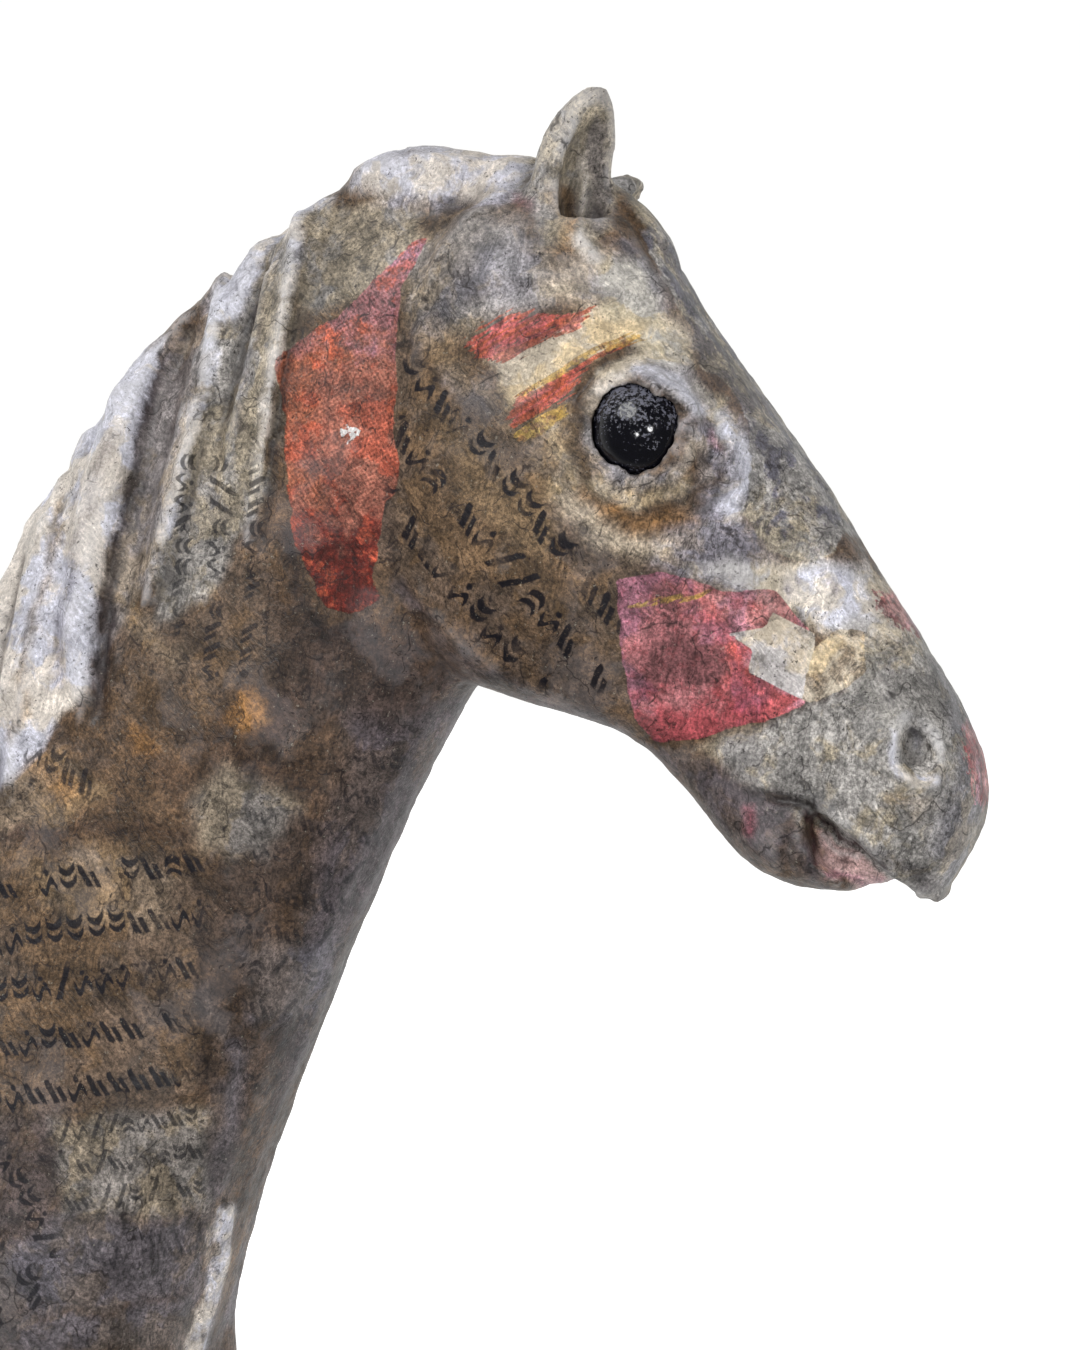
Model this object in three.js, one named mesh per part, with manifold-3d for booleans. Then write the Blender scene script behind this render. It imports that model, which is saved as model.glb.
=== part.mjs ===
// A papier-mache horse's head and neck, made as a small bust that stands on the flat underside of its neck.
// The whole figure is one mass of pasted paper: neck, chest, head, ears, mane and the flesh in the open mouth.
// Two black ball eyes are set into it as pieces of their own, each in a socket behind paper lids.
// Millimetres, +Z up. The horse looks along +X, its right side is -Y, and the origin is the middle of the underside.
import * as THREE from 'three';
import { LoftGeometry } from 'three/addons/geometries/LoftGeometry.js';
import { mergeVertices } from 'three/addons/utils/BufferGeometryUtils.js';
import Module from 'manifold-3d';

// Driving dimensions
const headLength = 55; // from the poll to the tip of the upper lip
const eyeDiameter = 7;
const socketClearance = 0.3; // between an eye and the paper round it
const eyeProud = 0.5; // how far an eye's front stands out of the lids' rim

// The modelled forms are shares of the head's length, in hundredths.
const share = headLength / 100;
const at = (x, y, z) => new THREE.Vector3(x, y, z).multiplyScalar(share);

const wasm = await Module();
wasm.setup();

// A closed geometry as a solid that can be joined and cut.
function solidOf(geometry) {
  const bare = new THREE.BufferGeometry();
  bare.setIndex(geometry.index).setAttribute('position', geometry.attributes.position);
  const merged = mergeVertices(bare, 1e-4);
  const corners = merged.index.array;
  const kept = [];
  for (let i = 0; i < corners.length; i += 3) {
    const [a, b, c] = corners.slice(i, i + 3);
    if (a !== b && b !== c && c !== a) kept.push(a, b, c);
  }
  return new wasm.Manifold(new wasm.Mesh({
    numProp: 3,
    vertProperties: new Float32Array(merged.attributes.position.array),
    triVerts: new Uint32Array(kept),
  }));
}

// A solid back as a geometry.
function geometryOf(solid) {
  const mesh = solid.getMesh();
  const corners = new Float32Array(mesh.numVert * 3);
  for (let i = 0; i < mesh.numVert; i++) {
    corners.set(mesh.vertProperties.subarray(i * mesh.numProp, i * mesh.numProp + 3), i * 3);
  }
  return new THREE.BufferGeometry()
    .setAttribute('position', new THREE.BufferAttribute(corners, 3))
    .setIndex(new THREE.BufferAttribute(mesh.triVerts, 1));
}

const smooth = (t) => t * t * (3 - 2 * t);
const power = (value, exponent) => Math.sign(value) * Math.abs(value) ** exponent;

// A smooth hill on the side of a form, as seen from the side: 1 at its centre and 0 at its rim.
function hill({ x, z, long, wide, turn = 0 }, px, pz) {
  const angle = THREE.MathUtils.degToRad(turn);
  const dx = px - x;
  const dz = pz - z;
  const along = (dx * Math.cos(angle) + dz * Math.sin(angle)) / long;
  const across = (dz * Math.cos(angle) - dx * Math.sin(angle)) / wide;
  return smooth(Math.max(0, 1 - Math.hypot(along, across)));
}

// A form swept through stations. Each station is [leading x, leading z, trailing x, trailing z, half-width]:
// the two points are its outline in side view, and the section between them is a rounded oval.
class Form {
  constructor(stations, { lead, trail, taper, relief = [] }) {
    const curve = (points) => new THREE.CatmullRomCurve3(points, false, 'centripetal');
    this.leading = curve(stations.map(([x, z, , , w]) => new THREE.Vector3(x, w, z)));
    this.trailing = curve(stations.map(([, , x, z, w]) => new THREE.Vector3(x, w, z)));
    this.spans = stations.length - 1;
    Object.assign(this, { lead, trail, taper, relief });
  }

  // The surface point at a share u of the sweep and an angle round the section, from the leading line over the
  // right side to the trailing line.
  point(u, angle) {
    const a = this.leading.getPoint(u);
    const b = this.trailing.getPoint(u);
    const c = Math.cos(angle);
    const s = Math.sin(angle);
    const exponent = 2 / (c > 0 ? this.lead : this.trail);
    const reach = power(c, exponent);
    const x = (a.x + b.x) / 2 + (reach * (a.x - b.x)) / 2;
    const z = (a.z + b.z) / 2 + (reach * (a.z - b.z)) / 2;
    const raised = this.relief.reduce((sum, form) => sum + form.height * hill(form, x, z), 0);
    const width = Math.max(0, a.y) * (1 + this.taper * reach) + raised * Math.min(1, Math.max(0, a.y) / 4);
    return at(x, -power(s, exponent) * width, z);
  }

  // Where the surface stands beside a point of the side view: its share of the sweep and its angle.
  beside(x, z) {
    let above = 0;
    let below = 1;
    const side = (u) => {
      const a = this.leading.getPoint(u);
      const b = this.trailing.getPoint(u);
      return (a.x - b.x) * (z - b.z) - (a.z - b.z) * (x - b.x);
    };
    const sign = Math.sign(side(above));
    for (let i = 0; i < 24; i++) {
      const middle = (above + below) / 2;
      if (Math.sign(side(middle)) === sign) above = middle;
      else below = middle;
    }
    const a = this.leading.getPoint(above);
    const b = this.trailing.getPoint(above);
    const depth = Math.hypot(a.x - b.x, a.z - b.z);
    const reach = THREE.MathUtils.clamp(
      (2 * ((x - b.x) * (a.x - b.x) + (z - b.z) * (a.z - b.z))) / depth ** 2 - 1, -1, 1,
    );
    return { u: above, angle: Math.acos(power(reach, (reach > 0 ? this.lead : this.trail) / 2)) };
  }

  // A point of the surface on its right side, and the direction it faces.
  frame({ u, angle }) {
    const step = 0.01;
    const origin = this.point(u, angle);
    const down = this.point(u + step, angle).sub(this.point(u - step, angle));
    const round = this.point(u, angle + step).sub(this.point(u, angle - step));
    return { origin, normal: down.cross(round).normalize() };
  }

  solid(rings, sides) {
    const sections = [];
    for (let i = 0; i <= rings; i++) {
      const u = THREE.MathUtils.lerp(0.004, 0.996, i / rings);
      sections.push(Array.from({ length: sides }, (_, j) => this.point(u, (j / sides) * 2 * Math.PI)));
    }
    return solidOf(new LoftGeometry(sections, { capStart: true, capEnd: true }));
  }
}

// The head, from behind the jaw's round plate to the lips. Leading is the forehead and nose, trailing the jaw.
function headForm() {
  return new Form([
    [84, 160.5, 83, 159, 3],
    [92, 165.5, 77.5, 149, 13],
    [98, 165.3, 74.8, 136, 15.5],
    [103, 164, 74.8, 124, 16.5],
    [108, 161, 76.5, 114, 17],
    [111.5, 156.7, 80, 107.5, 17.2],
    [115.2, 150.5, 86, 102.5, 17],
    [120.2, 143, 93.5, 100.3, 16.4],
    [125.8, 135.3, 101.2, 98, 15],
    [132, 126.4, 107.6, 95.6, 13],
    [137.4, 117.7, 112.4, 91.3, 11.6],
    [141.8, 110.8, 116.6, 86.5, 11],
    [145.6, 104.8, 120.2, 82.2, 11.2],
    [148.8, 99, 124.4, 79, 11.6],
    [151, 93.2, 130, 77.3, 11.6],
    [151.3, 87.6, 135.8, 77, 10.6],
    [149.8, 83, 140.6, 76.6, 8.6],
    [147.6, 79.2, 143.8, 76.3, 5.4],
    [145.8, 76.4, 145.4, 76.1, 1.2],
  ], {
    lead: 2.7,
    trail: 3,
    taper: 0.03,
    relief: [
      { x: 111.8, z: 133.6, long: 15, wide: 13, turn: -55, height: 3.1 }, // orbit
      { x: 106.5, z: 146, long: 9, wide: 6, turn: 35, height: -1.6 }, // hollow over the eye
      { x: 124, z: 116.5, long: 16, wide: 4.5, turn: -50, height: 1.3 }, // crest under the eye
      { x: 92, z: 122, long: 20, wide: 17, turn: 80, height: 1.6 }, // cheek plate
      { x: 132, z: 113, long: 11, wide: 6, turn: -55, height: -1.4 }, // hollow beside the nose bone
      { x: 117.5, z: 100, long: 11, wide: 8, turn: -45, height: -1.7 }, // hollow behind the lips
      { x: 145, z: 93.6, long: 10, wide: 7.5, turn: -60, height: 2.2 }, // nostril's flare
      { x: 142, z: 84, long: 8, wide: 6, turn: -55, height: 0.8 }, // upper lip
      { x: 126.5, z: 83.5, long: 8, wide: 6, turn: -30, height: 0.9 }, // chin
      { x: 130.6, z: 89.6, long: 8, wide: 5.4, turn: 10, height: -1.7 }, // corner of the mouth
    ],
  });
}

// The neck, from the poll down into the underside. Leading is the throat and chest, trailing the crest.
function neckForm() {
  return new Form([
    [99, 160, 93, 163.5, 3],
    [99, 154, 83, 166, 8.5],
    [97, 147, 71, 165.3, 11.5],
    [94, 137, 59, 159.2, 13.2],
    [91, 125, 49.2, 149.4, 14.4],
    [88.3, 112, 40, 139.4, 15.2],
    [85.6, 103, 31.4, 127.8, 15.8],
    [79.4, 92.4, 22.6, 115.7, 16.8],
    [73.6, 80.4, 13.2, 103, 18],
    [67, 66, 2.4, 86.7, 20],
    [60.6, 51, -9.6, 69.8, 22.5],
    [55.4, 38, -21.2, 52.8, 25.5],
    [51.6, 26.5, -32.5, 35.5, 28.5],
    [48.6, 14, -41.5, 17.5, 30.5],
    [46.6, 2, -47.4, 2, 31.5],
    [45.5, -8, -50, -8, 31.5],
  ], {
    lead: 2.3,
    trail: 2.1,
    taper: 0.2,
    relief: [
      { x: 62, z: 92, long: 34, wide: 9, turn: 62, height: 1.6 }, // muscle behind the throat
      { x: 72, z: 84, long: 26, wide: 5, turn: 64, height: -1.3 }, // groove along the windpipe
      { x: 20, z: 40, long: 30, wide: 22, turn: 60, height: 2.5 }, // shoulder
    ],
  });
}

// Breast muscles: two swellings side by side over the front of the underside.
function breast() {
  return [-1, 1].map((side) => {
    const swelling = new THREE.SphereGeometry(share, 16, 10).scale(12, 10, 25);
    return solidOf(swelling.translate(share * 37.2, side * share * 9, share * 7));
  });
}

// An ear: a leaf with a hollow that opens along `faces`. Its root, tip and opening are given in shares.
function ear({ root, tip, faces, width, thickness }) {
  const foot = at(...root);
  const axis = at(...tip).sub(foot);
  const height = axis.length();
  axis.normalize();
  const front = new THREE.Vector3(...faces).projectOnPlane(axis).normalize();
  const side = new THREE.Vector3().crossVectors(axis, front);
  // Full width at a third of the height, a little narrower at the root, closing to a rounded tip.
  const spread = (t) => {
    const rising = 0.86 + 0.14 * smooth(THREE.MathUtils.clamp(t / 0.35, 0, 1));
    return rising * Math.sqrt(Math.max(0.003, 1 - Math.max(0, (t - 0.35) / 0.65) ** 2.1));
  };
  const leaf = (grow, from, to, forward) => {
    const sections = [];
    const rings = 8;
    const sides = 11;
    for (let i = 0; i <= rings; i++) {
      const t = THREE.MathUtils.lerp(from, to, Math.sin((i / rings) * Math.PI / 2));
      const bend = 1.6 * Math.sin(Math.PI * Math.max(0, t));
      const middle = foot.clone().addScaledVector(axis, t * height).addScaledVector(front, share * (forward - bend));
      sections.push(Array.from({ length: sides }, (_, j) => {
        const angle = (j / sides) * 2 * Math.PI;
        return middle.clone()
          .addScaledVector(front, share * grow * thickness * spread(t) * Math.cos(angle))
          .addScaledVector(side, share * grow * width * spread(t) * Math.sin(angle));
      }));
    }
    return solidOf(new LoftGeometry(sections, { capStart: true, capEnd: true }));
  };
  return { leaf: leaf(1, -0.35, 1, 0), hollow: leaf(0.66, 0.12, 0.9, thickness * 0.62) };
}

// One lock of the mane, laid on the neck along a path of side-view points. Its far half is sunk in the neck.
function lock(neck, { path, width, height, side = -1 }) {
  const places = path.map(([x, z]) => neck.beside(x, z));
  const course = new THREE.CatmullRomCurve3(places.map(({ u, angle }) => new THREE.Vector3(u, angle, 0)));
  const place = (t) => {
    const { x, y } = course.getPoint(THREE.MathUtils.clamp(t, 0, 1));
    const found = neck.frame({ u: Math.min(x, 0.985), angle: y });
    if (side > 0) {
      found.origin.y *= -1;
      found.normal.y *= -1;
    }
    return found;
  };
  const fullest = 0.35; // how far down its length a lock is at its thickest
  const swelling = (t) => {
    if (t < fullest) return 1 - 0.6 * (1 - t / fullest) ** 2;
    return 1 - ((t - fullest) / (1 - fullest)) ** 2.6;
  };
  const rings = 7;
  const sides = 6;
  const sections = [];
  for (let i = 0; i <= rings; i++) {
    const t = i / rings;
    const { origin, normal } = place(t);
    const ahead = place(t + 0.03).origin.sub(place(t - 0.03).origin).normalize();
    const across = new THREE.Vector3().crossVectors(ahead, normal).normalize();
    const swell = Math.sqrt(Math.max(0.03, swelling(t)));
    sections.push(Array.from({ length: sides }, (_, j) => {
      const angle = (j / sides) * 2 * Math.PI;
      return origin.clone()
        .addScaledVector(normal, share * height * swell * (1.5 * Math.cos(angle) - 0.5))
        .addScaledVector(across, share * 1.15 * width * swell * Math.sin(angle));
    }));
  }
  return solidOf(new LoftGeometry(sections, { capStart: true, capEnd: true }));
}

// The mane: locks that start on the crest and hang down the right side, and fewer, shorter ones on the left.
function mane(neck) {
  const hanging = [
    { path: [[66.5, 169], [65.2, 160], [63.6, 149], [61, 136], [58, 122]], width: 3.6, height: 1.5 },
    { path: [[58.5, 163], [56.5, 153], [53, 140], [50.2, 128], [46.6, 113]], width: 3, height: 1.5 },
    { path: [[50, 157], [44.6, 147], [41, 135], [38, 121], [38.5, 98]], width: 4.2, height: 2.4 },
    { path: [[41, 147], [37, 136], [33, 124], [31, 110], [28, 88]], width: 4, height: 2.2 },
    { path: [[32.5, 136], [29, 124], [26, 110], [23, 96], [19, 74]], width: 3.8, height: 2.2 },
  ];
  const locks = hanging.map((one) => lock(neck, one));
  for (let i = 0; i < 3; i++) {
    const root = neck.trailing.getPoint((8.6 + 1.6 * i) / neck.spans);
    const drop = Math.min(44 + 5 * Math.sin(2.1 * i), root.z + 5);
    locks.push(lock(neck, {
      path: [0, 0.25, 0.5, 0.75, 1].map((t) => [root.x - 1 + 4 * t - 12 * t * t, root.z + 2 - drop * t]),
      width: 5.4 + 0.5 * Math.sin(3 * i),
      height: 2,
    }));
  }
  for (let i = 0; i < 6; i++) {
    const root = neck.trailing.getPoint((2.8 + 1.8 * i) / neck.spans);
    const drop = Math.min(34 + 4 * Math.sin(2.7 * i), root.z + 5);
    locks.push(lock(neck, {
      path: [0, 0.33, 0.67, 1].map((t) => [root.x - 1 + 5 * t - 9 * t * t, root.z + 1 - drop * t]),
      width: 7,
      height: 1.8,
      side: 1,
    }));
  }
  return locks;
}

// The tuft on the poll between the ears, and the forelock that falls from it down the forehead.
function tufts() {
  const lump = ({ x, y, z, long, wide, tall, turn }) => {
    const form = new THREE.SphereGeometry(share, 12, 8).scale(long, wide, tall);
    return solidOf(form.rotateY(THREE.MathUtils.degToRad(turn)).translate(share * x, share * y, share * z));
  };
  return [
    lump({ x: 80.6, y: -1, z: 164.4, long: 12.8, wide: 8, tall: 7.2, turn: 3 }),
    lump({ x: 92, y: -1, z: 164.8, long: 9, wide: 6.5, tall: 5, turn: 4 }),
    lump({ x: 105.6, y: -1, z: 158.8, long: 10, wide: 6.5, tall: 5, turn: 46 }),
  ];
}

// The flesh between the parted lips.
function flesh() {
  const body = new THREE.SphereGeometry(1, 20, 14);
  body.scale(share * 7.4, share * 7.2, share * 4.6);
  body.rotateY(THREE.MathUtils.degToRad(38));
  return solidOf(body.translate(share * 136.4, 0, share * 83.4));
}

// The gap between the lips, right through the muzzle: its outline in side view, pulled across.
function mouthGap() {
  const outline = new THREE.Shape([
    [130.6, 88.4], [132.4, 87.6], [134.3, 86.2], [138.2, 82.9], [141.2, 79.9], [143, 70],
    [136.4, 70], [136, 78.2], [134.2, 79.2], [131.9, 80.6], [131, 83.7],
  ].map(([x, z]) => new THREE.Vector2(x, z).multiplyScalar(share)));
  const depth = share * 40;
  const slab = new THREE.ExtrudeGeometry(outline, { depth, bevelEnabled: false });
  return solidOf(slab.translate(0, 0, -depth / 2).rotateX(Math.PI / 2));
}

function nostril(head, side) {
  const { origin } = head.frame(head.beside(145.4, 94.6));
  const pit = new THREE.SphereGeometry(share, 14, 10).scale(2.6, 2.6, 4.2).rotateY(THREE.MathUtils.degToRad(-18));
  return solidOf(pit.translate(origin.x, -side * origin.y, origin.z));
}

// Where an eye's middle sits behind the surface of the head.
function eyeCentre(head, side) {
  const { origin } = head.frame(head.beside(111.5, 133.4));
  return new THREE.Vector3(origin.x, side * (eyeProud - eyeDiameter / 2 - origin.y), origin.z);
}

function ball(diameter, centre) {
  return new THREE.SphereGeometry(diameter / 2, 18, 10).rotateX(Math.PI / 2).translate(...centre);
}

// The lids: a thick rim of paper round the front of each eye.
function lids(centre, side) {
  const rim = new THREE.TorusGeometry(eyeDiameter * 0.5, eyeDiameter * 0.12, 6, 20);
  rim.rotateX(Math.PI / 2).scale(1.1, 1, 0.96);
  return solidOf(rim.translate(centre.x, centre.y + side * eyeDiameter * 0.21, centre.z));
}

function paperBody() {
  const head = headForm();
  const neck = neckForm();
  const ears = [
    ear({
      root: [99.6, -6.5, 157.5], tip: [105.4, -10, 176.4], faces: [0.84, -0.52, 0.1], width: 5.6, thickness: 4.4,
    }),
    ear({
      root: [99.6, 6.5, 156], tip: [103, 17, 168.6], faces: [0.84, 0.52, 0.1], width: 5.4, thickness: 4.2,
    }),
  ];
  const added = [neck.solid(22, 26), ...breast(), ...mane(neck), ...tufts(), ...ears.map((one) => one.leaf)];
  let body = head.solid(30, 28).subtract(mouthGap()).add(flesh());
  for (const form of added) body = body.add(form);
  for (const side of [-1, 1]) {
    const centre = eyeCentre(head, side);
    body = body.add(lids(centre, side));
    body = body.subtract(solidOf(ball(eyeDiameter + 2 * socketClearance, centre)));
    body = body.subtract(nostril(head, side));
  }
  for (const one of ears) body = body.subtract(one.hollow);
  const below = new THREE.BoxGeometry(8 * headLength, 8 * headLength, headLength);
  below.translate(0, 0, -headLength / 2);
  body = body.subtract(solidOf(below));
  // Locks that cross can leave specks of air shut in the paper: only the outer skin is kept.
  return body.decompose().reduce((most, one) => (one.volume() > most.volume() ? one : most));
}

const paper = new THREE.MeshStandardMaterial({ color: 0x8b8271, roughness: 0.7, metalness: 0 });
const glossBlack = new THREE.MeshStandardMaterial({ color: 0x14141c, roughness: 0.15, metalness: 0 });

const bust = new THREE.Group();
const body = new THREE.Mesh(geometryOf(paperBody()), paper);
body.name = 'paper_horse';
bust.add(body);
for (const [name, side] of [['right_eye', -1], ['left_eye', 1]]) {
  const eye = new THREE.Mesh(ball(eyeDiameter, new THREE.Vector3()), glossBlack);
  eye.name = name;
  eye.position.copy(eyeCentre(headForm(), side));
  bust.add(eye);
}

export default bust;
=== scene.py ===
"""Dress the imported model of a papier-mache horse's head and neck.

The paper body is a copy of its CAD solid, remeshed finely and worked over with small brushes: lids, lips,
the strands of the mane, creases and lumps. Its paint is laid in washes, its scraps of coloured and printed
paper have torn edges, and brush strokes, cracks, specks and a satin glaze lie over all. The two eyes are
slightly lumpy glossy balls.

The places of marks are given in the side picture: units of 0.07 mm, x to the right towards the nose and
y down. Both sides of the horse share that picture, folded at its middle plane.
"""

import logging
import math
from dataclasses import dataclass
from enum import Enum

import bmesh
import bpy
import numpy as np
from mathutils import Matrix, Vector, noise

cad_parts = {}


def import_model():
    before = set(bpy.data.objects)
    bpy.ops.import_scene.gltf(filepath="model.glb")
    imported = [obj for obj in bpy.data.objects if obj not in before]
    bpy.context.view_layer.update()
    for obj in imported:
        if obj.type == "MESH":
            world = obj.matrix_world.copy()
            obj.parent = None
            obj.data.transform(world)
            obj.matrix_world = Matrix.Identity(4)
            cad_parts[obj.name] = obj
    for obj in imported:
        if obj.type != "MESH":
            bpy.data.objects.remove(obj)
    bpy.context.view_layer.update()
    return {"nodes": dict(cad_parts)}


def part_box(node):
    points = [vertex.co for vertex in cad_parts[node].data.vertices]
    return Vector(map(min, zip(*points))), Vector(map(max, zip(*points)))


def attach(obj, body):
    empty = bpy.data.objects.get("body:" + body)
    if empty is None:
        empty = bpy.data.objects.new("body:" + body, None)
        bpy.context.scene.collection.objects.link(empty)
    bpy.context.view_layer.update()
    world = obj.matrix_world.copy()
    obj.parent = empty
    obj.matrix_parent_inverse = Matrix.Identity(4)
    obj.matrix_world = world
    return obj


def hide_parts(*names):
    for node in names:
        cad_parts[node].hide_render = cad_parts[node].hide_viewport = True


LOG = logging.getLogger("paper_horse")
MM = 0.001
GAMMA = 2.2  # how a dry colour's numbers relate to linear light
LIGHT = 1.3  # how much brighter than paper white the studio's light makes a surface
SEAM = 1.6 * MM  # how wide the soft step between the horse's two sides is
STROKE_CELLS = 40  # how many cells lie between the strokes of two blocks of print
STROKE_ROWS = 20  # how many rows lie between them
Place = tuple[float, float]
Line = tuple[Place, ...]
Triple = tuple[float, float, float]


class Side(Enum):
    """Which side of the horse's middle plane a mark lies on."""

    NEAR = "right"
    FAR = "left"
    BOTH = "both"

    def share(self, y: np.ndarray) -> np.ndarray:
        """Say how fully each point lies on this side.

        Args:
            y: The points' distances from the middle plane in metres, negative on the right side.

        Returns:
            0 to 1 for each point, with a soft step over the middle plane.
        """
        if self is Side.BOTH:
            return np.ones_like(y)
        left = np.clip(0.5 + y / SEAM, 0, 1)
        return left if self is Side.FAR else 1 - left


NEAR, FAR = Side.NEAR, Side.FAR


class Pigment(Enum):
    """The paints and papers of the horse, as the red, green and blue of their dry colour, 0 to 255."""

    CHALK = (220, 218, 220)
    BONE = (206, 199, 180)
    PUTTY = (194, 186, 178)
    LILAC = (160, 155, 160)
    SAND = (214, 198, 168)
    CREAM = (220, 214, 202)
    CLAY = (146, 127, 102)
    STONE = (160, 155, 144)
    SLATE = (106, 104, 110)
    LEAD = (84, 77, 79)
    NEWSPRINT = (104, 86, 68)
    TOBACCO = (98, 80, 64)
    UMBER = (76, 60, 50)
    SOOT = (34, 26, 28)
    INK = (18, 17, 28)
    AMBER = (160, 120, 76)
    ORANGE = (170, 106, 84)
    FLAME = (180, 84, 58)
    RUST = (98, 32, 22)
    CORAL = (198, 94, 92)
    ROSE = (164, 114, 124)
    MADDER = (150, 70, 80)
    BLUSH = (206, 150, 158)
    YELLOW = (196, 164, 84)
    FLESH = (204, 168, 156)
    MAROON = (62, 28, 34)
    VIOLET = (124, 122, 148)

    def paint(self) -> Triple:
        """Give the paint in linear light, thinned to what the studio's light needs."""
        return tuple((part / 255) ** GAMMA / LIGHT for part in self.value)


@dataclass(frozen=True)
class Picture:
    """The side picture in which marks are placed: what a lens beside the horse sees."""

    azimuth: float = math.radians(17)
    distance: float = 220 * MM
    target: Triple = (52 * MM, 0.0, 57 * MM)
    unit: float = 0.07 * MM
    centre: Place = (540.0, 675.0)
    height: float = 1350.0

    def axes(self) -> tuple[np.ndarray, np.ndarray, np.ndarray]:
        """Give the picture's directions: towards the lens, to the right, and up."""
        back = np.array([math.sin(self.azimuth), -math.cos(self.azimuth), 0.0])
        right = np.array([math.cos(self.azimuth), math.sin(self.azimuth), 0.0])
        return back, right, np.array([0.0, 0.0, 1.0])

    def eye(self) -> np.ndarray:
        """Give the lens's place."""
        return np.array(self.target) + self.axes()[0] * self.distance

    def laid(self, points: np.ndarray) -> np.ndarray:
        """Lay points flat in the picture, with the left side folded onto the right.

        Args:
            points: Places on the horse in metres, one a row.

        Returns:
            Their places in the picture, one a row.
        """
        folded = points * [1, 0, 1] - np.abs(points) * [0, 1, 0]
        back, right, up = self.axes()
        seen = folded - self.eye()
        scale = self.distance / self.unit / -(seen @ back)
        x = self.centre[0] + seen @ right * scale
        y = self.centre[1] - seen @ up * scale
        return np.stack([x, y], axis=1)


PICTURE = Picture()


class Skin:
    """The points of a mesh, with their neighbours and their places in the side picture."""

    def __init__(self, mesh: bpy.types.Mesh) -> None:
        """Read the mesh.

        Args:
            mesh: The mesh to lay out.
        """
        self.mesh = mesh
        self.points = self.read("vertices", "co", 3).reshape(-1, 3)
        self.edges = self.read("edges", "vertices", 2, np.int32).reshape(-1, 2)
        self.places = PICTURE.laid(self.points)

    def read(self, collection: str, name: str, width: int, kind: type = np.float32) -> np.ndarray:
        """Read one value of every element of the mesh.

        Args:
            collection: The mesh's collection, such as its vertices.
            name: The value's name.
            width: How many numbers each element has.
            kind: The type of number.

        Returns:
            All the numbers in one row.
        """
        elements = getattr(self.mesh, collection)
        values = np.empty(len(elements) * width, kind)
        elements.foreach_get(name, values)
        return values

    def write(self) -> None:
        """Write the points into the mesh."""
        self.mesh.vertices.foreach_set("co", self.points.astype(np.float32).ravel())
        self.mesh.update()

    def normals(self) -> np.ndarray:
        """Give the direction each point faces."""
        self.write()
        return self.read("vertices", "normal", 3).reshape(-1, 3)

    def spread(self, values: np.ndarray, rounds: int) -> np.ndarray:
        """Blur values over the surface.

        Args:
            values: One value for each point.
            rounds: How many times each point takes the mean of itself and its neighbours.

        Returns:
            The blurred values.
        """
        first, second = self.edges.T
        count = len(self.points)
        links = np.bincount(first, minlength=count) + np.bincount(second, minlength=count)
        for _ in range(rounds):
            total = np.bincount(first, values[second], count)
            total += np.bincount(second, values[first], count)
            values = 0.5 * values + 0.5 * total / np.maximum(links, 1)
        return values

    def raised(self, rounds: int) -> np.ndarray:
        """Say how far each point stands out of its surroundings.

        Args:
            rounds: How wide the surroundings are.

        Returns:
            Metres, positive on ridges and negative in hollows.
        """
        mean = np.stack([self.spread(self.points[:, axis], rounds) for axis in range(3)], axis=1)
        return np.einsum("ij,ij->i", self.points - mean, self.normals())

    def push(self, height: np.ndarray) -> None:
        """Move the points outwards.

        Args:
            height: How far each point goes, in metres.
        """
        self.points = self.points + self.normals() * height[:, None]

    def grain(self, size: float, octaves: int, stretch: Triple = (1, 1, 1)) -> np.ndarray:
        """Give a smooth random value for each point.

        Args:
            size: The size of the pattern in metres.
            octaves: How many finer patterns are added.
            stretch: How far the pattern is stretched along each axis.

        Returns:
            Values about -1 to 1.
        """
        scaled = self.points / (np.array(stretch) * size)
        return np.array([noise.fractal(Vector(point), 1.0, 2.0, octaves) for point in scaled])

    def record(self, name: str, values: np.ndarray, kind: str = "FLOAT") -> None:
        """Write values into the mesh as an attribute that materials read.

        Args:
            name: The attribute's name.
            values: One row for each point.
            kind: The attribute's type.
        """
        layer = self.mesh.attributes.new(name, kind, "POINT")
        field_name = {"FLOAT": "value", "FLOAT_VECTOR": "vector", "FLOAT_COLOR": "color"}[kind]
        layer.data.foreach_set(field_name, values.astype(np.float32).ravel())


def smooth(share: np.ndarray) -> np.ndarray:
    """Ease values between 0 and 1 at both ends."""
    share = np.clip(share, 0, 1)
    return share * share * (3 - 2 * share)


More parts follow.
